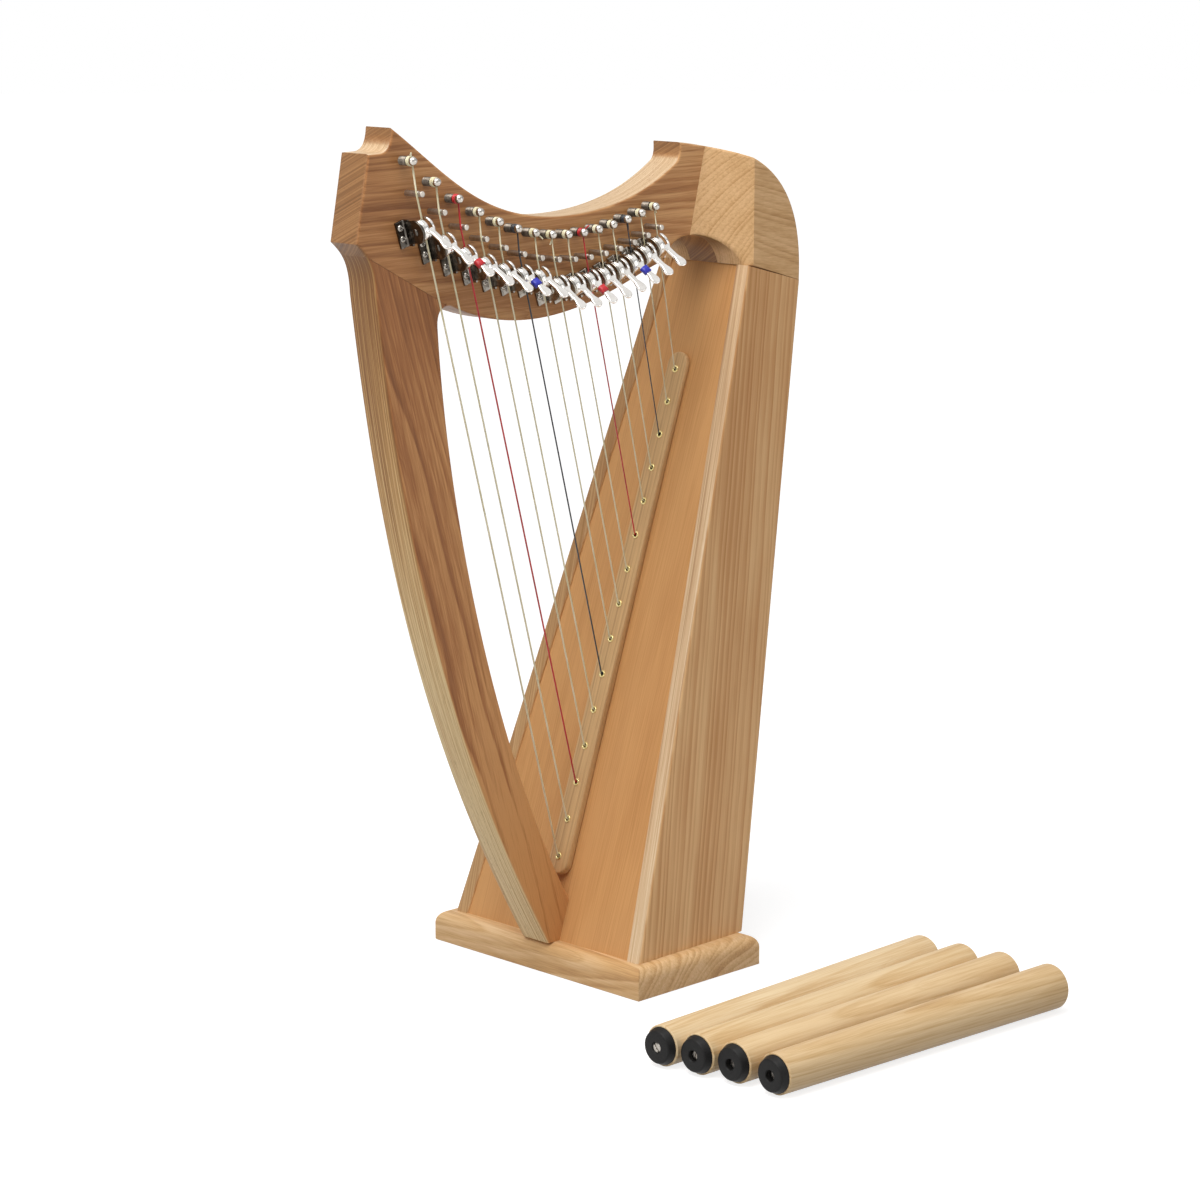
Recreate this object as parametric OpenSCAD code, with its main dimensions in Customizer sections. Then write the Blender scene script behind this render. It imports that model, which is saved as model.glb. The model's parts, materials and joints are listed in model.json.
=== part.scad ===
// Small lever harp: flat-sided soundbox on a plinth, curved pillar and neck, fifteen strings,
// a sharping lever on each string, and four loose legs lying beside it.
// Millimetres. +Z up, +X from pillar to soundbox, the strings run on the -Y side of the neck.
// Origin: centre of the plinth's underside.

/* [Plinth] */
// Plinth width, across the strings
base_w = 208; // [170:1:250]
// Plinth depth, along the neck
base_d = 123; // [100:1:150]
// Plinth thickness
base_t = 22; // [16:0.5:30]
// Radius of the rounded top edges
base_edge_r = 9; // [2:0.5:14]
// Ledge left around the soundbox at its front and sides
box_margin = 10.6; // [4:0.2:20]
// Ledge left behind the soundbox
back_ledge = 2.4; // [0.4:0.2:12]
// Depth of the threaded inserts for the legs
insert_len = 16; // [10:1:20]
// Outer radius of the threaded inserts
insert_r = 5; // [4:0.25:7]
// Inner radius of the threaded inserts, M8
thread_r = 3.4; // [2.5:0.1:4]
// Distance of the inserts from the plinth's edges
insert_edge = 24; // [18:1:35]

/* [Soundbox] */
// Backward lean of the soundboard, degrees
lean = 18.9; // [14:0.1:24]
// Length of the side panels' front edge
front_len = 496; // [440:1:550]
// Width across the box at the top of the soundboard
box_top_w = 86.8; // [70:0.5:110]
// Thickness of the side panels
panel_t = 11.8; // [8:0.2:16]
// Thickness of the soundboard
board_t = 3; // [2:0.25:5]
// How far the soundboard lies behind the panels' front edges
board_recess = 1.5; // [0.5:0.25:4]
// Thickness of the back panel
back_t = 4; // [3:0.25:7]
// Radius of the lowest access hole in the back
back_hole_r = 24; // [14:0.5:30]
// Each access hole is this much smaller than the one below it
back_hole_step = 4.5; // [0:0.5:6]

/* [Frame] */
// Thickness of the neck board and the pillar
neck_t = 27; // [22:0.5:34]
// Angle between the shoulder's bevels and the neck's faces
bevel_angle = 37.5; // [30:0.5:45]
// Angle of the glued joint between pillar and neck
joint_angle = 27.7; // [20:0.1:35]

/* [Strings] */
// Radius of the lowest string
bass_string_r = 0.65; // [0.4:0.05:0.9]
// Radius of the highest string
treble_string_r = 0.4; // [0.25:0.05:0.6]
// Distance of the lowest string hole from the plinth, along the soundboard
first_hole = 58.4; // [50:0.2:70]
// Spacing of the two lowest string holes
hole_pitch = 27.2; // [24:0.1:28]
// Width of the string rib
rib_w = 18.4; // [12:0.2:26]
// Thickness of the string rib at the lowest string
rib_t = 6.6; // [5:0.2:8]
// Thickness of the string rib at the highest string
rib_top_t = 4.6; // [3.6:0.2:5]
// Outer radius of an eyelet's rim
eyelet_r = 2.5; // [2:0.1:3.5]
// Thickness of an eyelet's rim
eyelet_rim = 0.8; // [0.5:0.1:1.2]

/* [Pins] */
// Radius of the tuning pins
pin_r = 3.1; // [2.5:0.1:4]
// Length of a tuning pin outside the neck, on the string side
pin_out = 14.6; // [11:0.2:18]
// Radius of the dome at a tuning pin's tip
pin_dome_r = 2.6; // [0.6:0.1:3]
// Side of a tuning pin's square head
pin_square = 4.2; // [3.5:0.1:5]
// Length of a tuning pin's square head
pin_head_len = 12; // [8:0.5:16]
// Radius of the bridge pins
bridge_r = 2; // [1.5:0.1:3]
// Length of a bridge pin outside the neck
bridge_out = 16; // [14.8:0.2:20]
// Distance of the strings' grooves from the neck
groove_out = 12.5; // [11.5:0.1:13.2]

/* [Sharping levers] */
// Outer radius of a lever's slotted shell
shell_r = 7.8; // [7:0.1:8]
// Thickness of the shell and of its side disc
shell_t = 1.4; // [1:0.1:1.8]
// Thickness of a bracket's sheet
sheet_t = 1.6; // [1:0.1:2]
// Width of a bracket's foot plate
plate_w = 7.9; // [7:0.1:9]
// Height of a bracket's foot plate
plate_h = 18.2; // [16.5:0.1:19]
// Radius of the rivet that a lever turns on
rivet_r = 1.8; // [1.2:0.1:2.2]
// Reach of a handle's tip from the rivet
handle_reach = 25.2; // [23:0.2:28]
// Slope of a handle at rest below the horizontal, degrees
handle_slope = 38; // [30:1:45]
// Distance of a handle's middle plane from the rivet's axis
handle_off = 4.8; // [4:0.1:5.2]
// Thickness of a handle
handle_t = 2.1; // [1.6:0.1:2.4]
// Width of a handle's waist
handle_waist = 4.1; // [3.5:0.1:5]
// Width of a handle's paddle
handle_paddle = 6.8; // [5.5:0.1:8]
// Width of a handle's root
handle_root = 7.3; // [5.5:0.1:7.4]
// Length of a colour sleeve
sleeve_len = 5.7; // [4:0.1:5.8]
// Wall of a colour sleeve
sleeve_t = 0.9; // [0.5:0.1:1.2]

/* [Legs] */
// Length of a leg's wood
leg_len = 265.5; // [200:0.5:300]
// Radius of a leg at its rubber foot
leg_foot_r = 13.9; // [13.2:0.1:15]
// Radius of a leg at its thick end
leg_top_r = 15.8; // [15:0.1:20]
// Radius of a rubber foot
foot_r = 12.7; // [10:0.1:13]
// Thickness of a rubber foot
foot_t = 5.4; // [4:0.2:10]

/* [Hidden] */
$fn = 48;

run_fit = 0.05;         // radial clearance of a turning pin
gap = 0.3;              // clearance between pieces that move apart
reach = 700;            // size of the blocks that cut things

// ---- soundbox ----
foot_x = -base_d / 2 + box_margin;
box_d = base_d - box_margin - back_ledge;
box_w = base_w - 2 * box_margin;
taper = atan((box_w - box_top_w) / 2 / front_len);
inner_half_w = box_w / 2 - panel_t / cos(taper);
// corner of panel, soundboard and shoulder, as [x, height over the plinth]
corner = [foot_x + front_len * sin(lean), front_len * cos(lean)];
seam_back = corner + [55.5, -14.3];
back_foot_x = foot_x + box_d;
back_lean = atan((seam_back[0] - back_foot_x) / seam_back[1]);
back_len = seam_back[1] / cos(back_lean);

// ---- outline of pillar, neck and shoulder ----
// Neck and shoulder hang on the corner, the pillar's lower half on the foot.
function at_corner(c) = [for (p = c) corner + p];
function at_foot(c) = [for (p = c) [foot_x, 0] + p];
function bez_pt(c, t) = pow(1 - t, 3) * c[0] + 3 * t * pow(1 - t, 2) * c[1]
    + 3 * t * t * (1 - t) * c[2] + t * t * t * c[3];
function bez(c, n) = [for (i = [0 : n]) bez_pt(c, i / n)];
function arc(c, r, a0, a1, n) = [for (i = [0 : n]) let (a = a0 + (a1 - a0) * i / n)
    c + r * [cos(a), sin(a)]];

head_peak = [-308.2, 108.9];
neck_dip = [-157.1, 43];
nose_foot = [-43.8, 73.2];
nose_tip = [-39.6, 87.3];
cove_c = [-28.25, -7.8];
cove_r = norm(cove_c);
cove_end = [-55, 4.2];
hollow_neck = [-257.2, -10.5];
hollow_pillar = [-269.1, -23.3];
pillar_front = [-323.8, 0.7];
head_chin = [-339.8, 35.7];
shelf_front = [-329, 93];
shelf_back = [-318.8, 93.3];
joint_start = [-330.8, 26.7];

frame_outline = concat(
    bez(at_corner([head_peak, [-259.6, 77.3], [-228.3, 43.8], neck_dip]), 14),
    bez(at_corner([neck_dip, [-95.3, 43.1], [-61.7, 61.7], nose_foot]), 12),
    bez(at_corner([nose_foot, [-39.8, 75.7], [-38.8, 79.7], nose_tip]), 6),
    bez([corner + nose_tip, corner + [22.2, 80.7], corner + [67.7, 60], seam_back], 22),
    arc(corner + cove_c, cove_r, atan2(-cove_c[1], -cove_c[0]),
        atan2(cove_end[1] - cove_c[1], cove_end[0] - cove_c[0]), 16),
    bez(at_corner([cove_end, [-76, 3.4], [-164.2, -51.5], hollow_neck]), 20),
    bez(at_corner([hollow_neck, [-264.8, -9.8], [-269.4, -13.3], hollow_pillar]), 6),
    bez(concat(at_corner([hollow_pillar, [-260.4, -163.1]]),
        at_foot([[-53.1, 142.1], [9, 33.4]])), 20),
    at_foot([[16, 21.5], [16, 0]]),
    bez(concat(at_foot([[-9.3, 0], [-96.9, 147.6]]),
        at_corner([[-299.3, -188.3], pillar_front])), 22),
    bez(at_corner([pillar_front, [-324.8, 19.7], [-328.8, 26.7], head_chin]), 8),
    at_corner([shelf_front]),
    bez(at_corner([shelf_back, [-312.3, 93.9], [-308.8, 98.2], head_peak]), 6));

module outline_plate(y0, y1)
    translate([0, y1, base_t]) rotate([90, 0, 0]) linear_extrude(height = y1 - y0)
        children();

module above_joint()
    translate(corner + joint_start) rotate(-joint_angle)
        translate([-reach, 0]) square([2 * reach, reach]);

// Box frame: origin at the front foot, +Z up the soundboard, +X into the box.
module box_frame() translate([foot_x, 0, base_t]) rotate([0, lean, 0]) children();

// Everything between the side panels' inner faces.
module between_panels() box_frame()
    translate([-reach / 2, 0, 0]) rotate([90, 0, 90]) linear_extrude(height = reach)
        polygon([[-inner_half_w - 100 * tan(taper), -100],
            [inner_half_w + 100 * tan(taper), -100],
            [inner_half_w - 600 * tan(taper), 600],
            [-inner_half_w + 600 * tan(taper), 600]]);

// A slab between the outer face of the side on -Y and a depth below it.
module side_slab(depth) box_frame()
    translate([0, -box_w / 2, 0]) rotate([-taper, 0, 0])
        translate([-reach / 2, 0, -100]) cube([reach, depth, 900]);

box_profile = [[foot_x, 0], [back_foot_x, 0], seam_back, corner];

// ---- strings ----
string_count = 15;
last = string_count - 1;
bass_levers = 7;
function string_r(k) = bass_string_r + (treble_string_r - bass_string_r) * k / last;
// the rows of pins through the neck
bridge_row = at_corner([[-296.4, 66.4], [-202.9, 0.4], [-133.6, 8.3], [-73.4, 30.7]]);
tuning_row = at_corner([[-300.6, 87.6], [-201.4, 13.4], [-139.7, 27.7], [-75.1, 45]]);
hole_closing = 0.12;
groove_r = bridge_r - 0.4;
coil_y = -(neck_t / 2 + 0.58 * pin_out);
function hole_s(k) = first_hole + hole_pitch * k - hole_closing * k * k;
function in_box(x, s) = [foot_x + x * cos(lean) + s * sin(lean), 0,
    base_t - x * sin(lean) + s * cos(lean)];
function rib_x(s) = board_recess - rib_t
    + (rib_t - rib_top_t) * (s - hole_s(0)) / (hole_s(last) - hole_s(0));
board_back = board_recess + board_t;
function hole_pt(k) = in_box(rib_x(hole_s(k)) - eyelet_rim, hole_s(k));
function row_pt(row, k, y) = let (p = bez_pt(row, k / last)) [p[0], y, p[1] + base_t];
// a string lies in its pin's groove, on the side away from the soundbox
groove_pass = 1.09;
function bridge_pt(k) = row_pt(bridge_row, k, -(neck_t / 2 + groove_out))
    - [groove_pass * (groove_r + string_r(k)), 0, 0];
function coil_pt(k) = row_pt(tuning_row, k, coil_y) + [pin_r + string_r(k) + gap, 0, 0];
function string_len(k) = norm(hole_pt(k) - bridge_pt(k));
function string_dir(k) = (hole_pt(k) - bridge_pt(k)) / string_len(k);
function string_tilt(k) = atan2(string_dir(k)[0], -string_dir(k)[2]);
string_knot_r = 2.2;

function unit(v) = v / norm(v);
sides = 8;
function ring(c, d, r) = let (u = unit(cross(d, [0, 1, 0])), v = cross(d, u))
    [for (j = [0 : sides - 1]) c + r * (cos(360 * j / sides) * u + sin(360 * j / sides) * v)];

// a round tube through the path's points, with a radius at each
module tube(path, radii) {
    n = len(path);
    polyhedron(
        points = [for (i = [0 : n - 1])
            each ring(path[i], unit(path[min(i + 1, n - 1)] - path[max(i - 1, 0)]), radii[i])],
        faces = concat([[for (j = [0 : sides - 1]) j]],
            [for (i = [0 : n - 2], j = [0 : sides - 1]) let (k = (j + 1) % sides)
                [i * sides + k, i * sides + j, (i + 1) * sides + j, (i + 1) * sides + k]],
            [[for (j = [sides - 1 : -1 : 0]) (n - 1) * sides + j]]));
}

// From the winding over the bridge pin to the eyelet, with a knot behind the soundboard.
module string(k) {
    r = string_r(k);
    up = unit(coil_pt(k) - bridge_pt(k));
    back = unit(in_box(1, 0) - in_box(0, 0));
    knot = in_box(board_back + 0.05, hole_s(k));
    tube([coil_pt(k), bridge_pt(k) + 1.5 * up, bridge_pt(k), bridge_pt(k) + 1.5 * string_dir(k),
            hole_pt(k) - 1.5 * string_dir(k), hole_pt(k), hole_pt(k) + 1.5 * back,
            knot, knot + 0.7 * back, knot + 3 * back, knot + 3.8 * back],
        [r, r, r, r, r, r, r, r, string_knot_r, string_knot_r, r]);
}

// ---- levers ----
// Lever frame: +X along the rivet, +Z up the string, -Y away from the neck. The string
// runs through the origin and through the shell's slot.
function lever_drop(k) = k < bass_levers ? 0.9 + 0.0455 * string_len(k)
    : 8.7 + 0.0403 * string_len(k);
function hub(k) = bridge_pt(k) + lever_drop(k) * string_dir(k);
module lever_frame(k) translate(hub(k)) rotate([0, -string_tilt(k), 0]) children();
function face_y(k) = -neck_t / 2 - hub(k)[1];
cheek_x = -7.8;
cheek_r = shell_r + 0.4;
plate_x = cheek_x + sheet_t - plate_w;
plate_z = -10;
screw_x = plate_x + 2.9;
screw_z = [3.7, -3.8];
screw_head_r = 2.3;
screw_head_h = 1.2;
screw_r = 1.2;
screw_len = 12;
disc_x = cheek_x + sheet_t + gap;
shell_end = 3.2;
rivet_head_r = rivet_r + 1;
rivet_head_t = 0.8;
handle_x = -1.2;
slot_floor = -5;
shell_foot = -50;
shell_lip = 80;
treble_turn = 7;        // the treble levers rest this much lower
function slot_half(k) = k < bass_levers ? 1.5 : 1.2;
sleeve_at = 9.2;

// a sector of the shell's cross-section, angles up from straight outwards
module sector(r, a0, a1)
    polygon(concat([[0, 0]], [for (i = [0 : 6]) let (a = a0 + (a1 - a0) * i / 6)
        1.3 * r * [-cos(a), sin(a)]]));

// lays a drawing in [y, z] out along X
module along_x(x0, x1)
    translate([x0, 0, 0]) rotate([90, 0, 90]) linear_extrude(height = x1 - x0) children();

module shell_ring(a0, a1)
    intersection() {
        difference() {
            circle(r = shell_r);
            circle(r = shell_r - shell_t);
        }
        sector(shell_r, a0, a1);
    }

// half width of the handle along its length, as [half width, along]
handle_side = concat([[handle_root / 2, 4.9]],
    bez([[handle_root / 2, 6], [handle_root / 2, 7.6], [handle_waist / 2, 7.6],
        [handle_waist / 2, sleeve_at - 0.1]], 6),
    bez([[handle_waist / 2, sleeve_at + 5.9], [handle_waist / 2, 17.5],
        [handle_paddle / 2, 18.5], [handle_paddle / 2, handle_reach - handle_paddle / 2]], 7));

// Lever frame turned to the lever's rest position.
module lever_rest(k) lever_frame(k) rotate([k < bass_levers ? 0 : treble_turn, 0, 0])
    children();

// Handle frame: the handle runs along -Y, its middle plane is the XY plane.
module handle_frame() rotate([handle_slope, 0, 0]) translate([handle_x, 0, handle_off])
    children();

module handle() handle_frame()
    translate([0, 0, -handle_t / 2]) linear_extrude(height = handle_t) {
        polygon(concat([for (p = handle_side) [p[0], -p[1]]],
            [for (i = [len(handle_side) - 1 : -1 : 0])
                [-handle_side[i][0], -handle_side[i][1]]]));
        translate([0, handle_paddle / 2 - handle_reach]) circle(d = handle_paddle);
    }

module lever(k) color("silver") lever_rest(k) difference() {
    union() {
        along_x(disc_x, disc_x + shell_t) circle(r = shell_r);
        along_x(disc_x + shell_t, shell_end) shell_ring(shell_foot, shell_lip);
        difference() {
            handle();
            along_x(disc_x + shell_t, shell_end + 1) circle(r = shell_r - shell_t);
        }
    }
    along_x(disc_x - 1, disc_x + shell_t + 1) circle(r = rivet_r + run_fit);
    along_x(-slot_half(k), slot_half(k)) intersection() {
        sector(shell_r, slot_floor, shell_lip + 20);
        circle(r = shell_r + 0.05);
    }
}

module sleeve(k, tint) color(tint) lever_rest(k) handle_frame()
    translate([0, -sleeve_at, 0]) rotate([90, 0, 0]) linear_extrude(height = sleeve_len)
        difference() {
            square([handle_waist + 2 * sleeve_t, handle_t + 2 * sleeve_t], center = true);
            square([handle_waist, handle_t], center = true);
        }

module bracket(k) lever_frame(k) {
    difference() {
        union() {
            translate([plate_x, face_y(k) - sheet_t, plate_z])
                cube([plate_w, sheet_t, plate_h]);
            along_x(cheek_x, cheek_x + sheet_t) {
                circle(r = cheek_r);
                translate([0, -cheek_r]) square([face_y(k), 2 * cheek_r]);
            }
        }
        for (z = screw_z) translate([screw_x, face_y(k) - 5, z]) rotate([-90, 0, 0])
            cylinder(r = screw_r, h = 10);
    }
    along_x(cheek_x - rivet_head_t, cheek_x + 0.01) circle(r = rivet_head_r);
    along_x(cheek_x, disc_x + shell_t + gap + 0.01) circle(r = rivet_r);
    along_x(disc_x + shell_t + gap, disc_x + shell_t + gap + rivet_head_t)
        circle(r = rivet_head_r);
}

// ---- legs ----
leg_x = [-151.4, -146.8, -142.1, -140.2];
leg_y = -base_w / 2 - 104;
leg_foot_gap = 0.3;
leg_top_gap = 0.4;
leg_apart = [4.7, 0.8]; // the last leg lies a little apart and turned
leg_edge = 2.2;
foot_edge = 1.4;
foot_front_r = foot_r - 1.5;
foot_recess_r = 3.7;
foot_recess = 2.5;
socket_len = 22;
leg_cone = atan((leg_top_r - leg_foot_r) / leg_len);
leg_pitch = 2 * leg_foot_r + leg_foot_gap;
leg_turn = asin((2 * (leg_top_r - leg_foot_r) + leg_top_gap - leg_foot_gap) / leg_len);

// Leg frame: +Z runs from the rubber foot's face to the thick end, lying on the floor.
module leg_frame(i)
    translate([leg_x[i], leg_y - leg_pitch * i - (i == 3 ? leg_apart[0] : 0),
        leg_foot_r * cos(leg_cone) - foot_t * sin(leg_cone)])
        rotate([0, 0, -leg_turn * i - (i == 3 ? leg_apart[1] : 0)])
            rotate([0, 90 - leg_cone, 0]) children();

module leg(i) color("burlywood") leg_frame(i) difference() {
    rotate_extrude() polygon(concat([[0, foot_t], [leg_foot_r, foot_t]],
        arc([leg_top_r - leg_edge, foot_t + leg_len - leg_edge], leg_edge, 0, 90, 6),
        [[0, foot_t + leg_len]]));
    translate([0, 0, foot_t + leg_len - socket_len]) cylinder(r = thread_r, h = socket_len + 1);
}

module foot(i) color("#202020") leg_frame(i) rotate_extrude() difference() {
    polygon(concat([[0, 0]], arc([foot_front_r - foot_edge, foot_edge], foot_edge, -90, 0, 6),
        [[foot_r, foot_t - 0.8], [foot_r, foot_t], [0, foot_t]]));
    translate([-1, -1]) square([foot_recess_r + 1, foot_recess + 1]);
}

// ---- pieces ----
module quarter_round_bar(w, h, r, l) rotate([90, 0, 0])
    translate([0, 0, -l / 2]) linear_extrude(height = l) {
        translate([-w / 2, 0]) square([w, h - r]);
        translate([-w / 2 + r, 0]) square([w - 2 * r, h]);
        for (s = [-1, 1]) translate([s * (w / 2 - r), h - r]) circle(r = r);
    }

module insert_places() for (x = [-1, 1], y = [-1, 1])
    translate([x * (base_d / 2 - insert_edge), y * (base_w / 2 - insert_edge), 0]) children();

module base() color("burlywood") difference() {
    intersection() {
        quarter_round_bar(base_d, base_t, base_edge_r, base_w);
        rotate([0, 0, 90]) quarter_round_bar(base_w, base_t, base_edge_r, base_d);
    }
    insert_places() translate([0, 0, -1]) cylinder(r = insert_r, h = insert_len + 1);
}

module base_inserts() color("gold") insert_places() difference() {
    cylinder(r = insert_r, h = insert_len);
    translate([0, 0, -1]) cylinder(r = thread_r, h = insert_len + 2);
}

module side_right() color("tan") intersection() {
    outline_plate(-reach, reach) polygon(box_profile);
    side_slab(panel_t);
}

module side_left() mirror([0, 1, 0]) side_right();

module soundboard() color("peru") difference() {
    intersection() {
        between_panels();
        box_frame() translate([board_recess, -reach / 2, -100])
            cube([board_t, reach, reach]);
        outline_plate(-reach, reach) polygon(box_profile);
    }
    for (k = [0 : last]) box_frame() translate([0, 0, hole_s(k)]) rotate([0, 90, 0])
        cylinder(r = string_bore_r, h = 20);
}

back_holes = [0.2, 0.47, 0.71];
module back_panel() color("peru") difference() {
    intersection() {
        between_panels();
        outline_plate(-reach, reach) polygon(box_profile);
        translate([back_foot_x, -reach / 2, base_t]) rotate([0, back_lean, 0])
            translate([-back_t, 0, -100]) cube([back_t, reach, reach]);
    }
    for (i = [0 : 2]) translate([back_foot_x, 0, base_t]) rotate([0, back_lean, 0])
        translate([-20, 0, back_len * back_holes[i]]) rotate([0, 90, 0])
            cylinder(r = back_hole_r - back_hole_step * i, h = 40);
}

string_bore_r = 1.3;
eyelet_shank_r = 1.9;
rib_over = 13;
module string_rib() color("tan") difference() {
    low = hole_s(0) - rib_over;
    high = hole_s(last) + rib_over;
    intersection() {
        box_frame() translate([-20, 0, 0]) rotate([90, 0, 90])
            linear_extrude(height = 20 + board_recess) {
                translate([-rib_w / 2, low + rib_w / 2]) square([rib_w, high - low - rib_w]);
                for (s = [low + rib_w / 2, high - rib_w / 2])
                    translate([0, s]) circle(d = rib_w);
            }
        box_frame() rotate([90, 0, 0]) translate([0, 0, -rib_w])
            linear_extrude(height = 2 * rib_w) polygon([[board_recess + 1, low - 1],
                [rib_x(low - 1), low - 1], [rib_x(high + 1), high + 1],
                [board_recess + 1, high + 1]]);
    }
    for (k = [0 : last]) box_frame() translate([-15, 0, hole_s(k)])
        rotate([0, 90, 0]) cylinder(r = eyelet_shank_r, h = 20);
}

module string_eyelets() color("gold") for (k = [0 : last])
    box_frame() translate([rib_x(hole_s(k)), 0, hole_s(k)]) rotate([0, 90, 0]) difference() {
        union() {
            translate([0, 0, -eyelet_rim]) cylinder(r = eyelet_r, h = eyelet_rim);
            cylinder(r = eyelet_shank_r, h = board_recess - rib_x(hole_s(k)));
        }
        translate([0, 0, -2]) cylinder(r = string_bore_r, h = rib_t + 3);
    }

module neck() color("burlywood") difference() {
    outline_plate(-neck_t / 2, neck_t / 2) intersection() {
        polygon(frame_outline);
        above_joint();
    }
    for (k = [0 : last]) {
        translate(row_pt(tuning_row, k, -neck_t)) rotate([-90, 0, 0])
            cylinder(r = pin_r + run_fit, h = 2 * neck_t);
        translate(row_pt(bridge_row, k, -neck_t)) rotate([-90, 0, 0])
            cylinder(r = bridge_r, h = neck_t / 2 + bridge_deep);
    }
}

bridge_deep = 14;

module pillar() color("tan") difference() {
    outline_plate(-neck_t / 2, neck_t / 2) difference() {
        polygon(frame_outline);
        above_joint();
    }
    box_frame() translate([board_recess, -reach / 2, -100]) cube([reach, reach, 400]);
}

bevel_foot = [-28.8, 21.5];
bevel_lean = 13.6;
module shoulder_right() color("burlywood") intersection() {
    outline_plate(-reach / 2, -neck_t / 2) polygon(frame_outline);
    side_slab(reach);
    translate([corner[0] + bevel_foot[0], -neck_t / 2, base_t + corner[1] + bevel_foot[1]])
        rotate([0, bevel_lean, 0]) rotate([0, 0, -bevel_angle])
            translate([-reach / 2, 0, -reach / 2]) cube([reach, reach, reach]);
}

module shoulder_left() mirror([0, 1, 0]) shoulder_right();

module bridge_pins() color("silver") for (k = [0 : last])
    translate(row_pt(bridge_row, k, -(neck_t / 2 + bridge_out))) rotate([-90, 0, 0])
        difference() {
            cylinder(r = bridge_r, h = bridge_out + bridge_deep);
            translate([0, 0, bridge_out - groove_out]) rotate_extrude()
                translate([groove_r + string_r(k), 0]) circle(r = string_r(k) + 0.02);
        }

module tuning_pin(k) color("gray") translate(row_pt(tuning_row, k, 0)) rotate([90, 0, 0]) {
    translate([0, 0, -neck_t / 2 - 4]) rotate_extrude()
        polygon(concat([[0, 0], [pin_r, 0]],
            arc([pin_r - pin_dome_r, neck_t + 4 + pin_out - pin_dome_r], pin_dome_r, 0, 90, 7),
            [[0, neck_t + 4 + pin_out]]));
    translate([-pin_square / 2, -pin_square / 2, -neck_t / 2 - 4 - pin_head_len])
        cube([pin_square, pin_square, pin_head_len + 0.5]);
}

module strings(which) for (k = which) string(k);
module strings_natural() color("ivory")
    strings([0, 1, 3, 4, 6, 7, 8, 10, 11, 13, 14]);
module strings_red() color("red") strings([2, 9]);
module strings_black() color("black") strings([5, 12]);
module lever_brackets() color("dimgray") for (k = [0 : last]) bracket(k);
module lever_screws() color("silver") for (k = [0 : last], z = screw_z)
    lever_frame(k) translate([screw_x, face_y(k) - sheet_t, z]) rotate([-90, 0, 0]) {
        translate([0, 0, -screw_head_h]) cylinder(r = screw_head_r, h = screw_head_h);
        cylinder(r = screw_r, h = sheet_t);
    }

base();
base_inserts();
side_left();
side_right();
soundboard();
back_panel();
string_rib();
neck();
shoulder_left();
shoulder_right();
pillar();
bridge_pins();
string_eyelets();
strings_natural();
strings_red();
strings_black();
lever_brackets();
lever_screws();
lever(0);  // lever_01
lever(1);  // lever_02
lever(2);  // lever_03
lever(3);  // lever_04
lever(4);  // lever_05
lever(5);  // lever_06
lever(6);  // lever_07
lever(7);  // lever_08
lever(8);  // lever_09
lever(9);  // lever_10
lever(10);  // lever_11
lever(11);  // lever_12
lever(12);  // lever_13
lever(13);  // lever_14
lever(14);  // lever_15
sleeve(2, "crimson");  // sleeve_03
sleeve(5, "mediumblue");  // sleeve_06
sleeve(9, "crimson");  // sleeve_10
sleeve(12, "mediumblue");  // sleeve_13
tuning_pin(0);  // tuning_pin_01
tuning_pin(1);  // tuning_pin_02
tuning_pin(2);  // tuning_pin_03
tuning_pin(3);  // tuning_pin_04
tuning_pin(4);  // tuning_pin_05
tuning_pin(5);  // tuning_pin_06
tuning_pin(6);  // tuning_pin_07
tuning_pin(7);  // tuning_pin_08
tuning_pin(8);  // tuning_pin_09
tuning_pin(9);  // tuning_pin_10
tuning_pin(10);  // tuning_pin_11
tuning_pin(11);  // tuning_pin_12
tuning_pin(12);  // tuning_pin_13
tuning_pin(13);  // tuning_pin_14
tuning_pin(14);  // tuning_pin_15
leg(0);  // leg_1
leg(1);  // leg_2
leg(2);  // leg_3
leg(3);  // leg_4
foot(0);  // foot_1
foot(1);  // foot_2
foot(2);  // foot_3
foot(3);  // foot_4
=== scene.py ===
import json
import math

import bmesh
import bpy
import numpy as np
from mathutils import Matrix, Vector


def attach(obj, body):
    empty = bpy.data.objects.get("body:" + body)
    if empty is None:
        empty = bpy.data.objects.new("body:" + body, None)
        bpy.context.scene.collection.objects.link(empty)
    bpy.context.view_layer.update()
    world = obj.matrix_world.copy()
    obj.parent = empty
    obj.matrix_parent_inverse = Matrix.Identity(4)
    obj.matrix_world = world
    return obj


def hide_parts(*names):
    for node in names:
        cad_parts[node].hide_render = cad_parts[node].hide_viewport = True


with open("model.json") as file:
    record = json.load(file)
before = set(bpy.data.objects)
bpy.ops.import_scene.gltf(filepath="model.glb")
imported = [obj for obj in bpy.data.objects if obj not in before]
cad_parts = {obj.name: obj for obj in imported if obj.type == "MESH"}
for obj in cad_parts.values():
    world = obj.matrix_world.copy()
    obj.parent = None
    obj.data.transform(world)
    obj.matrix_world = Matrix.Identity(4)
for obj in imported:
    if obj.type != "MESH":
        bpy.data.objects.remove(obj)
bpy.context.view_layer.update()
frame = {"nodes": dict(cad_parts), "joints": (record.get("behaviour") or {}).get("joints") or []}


# ---- plinth ----
# A flat ash board, 22 mm thick, with its grain across the harp. Its top edges are moulded
# to a quarter round, and four brass inserts let into its underside take the legs.

PLINTH = (123.0, 208.0, 22.0)
EASED, MOULDED = 0.8, 9.0


def unit(v):
    """The vectors in the last axis, each divided by its length."""
    v = np.asarray(v, float)
    return v / np.linalg.norm(v, axis=-1, keepdims=True)


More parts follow.
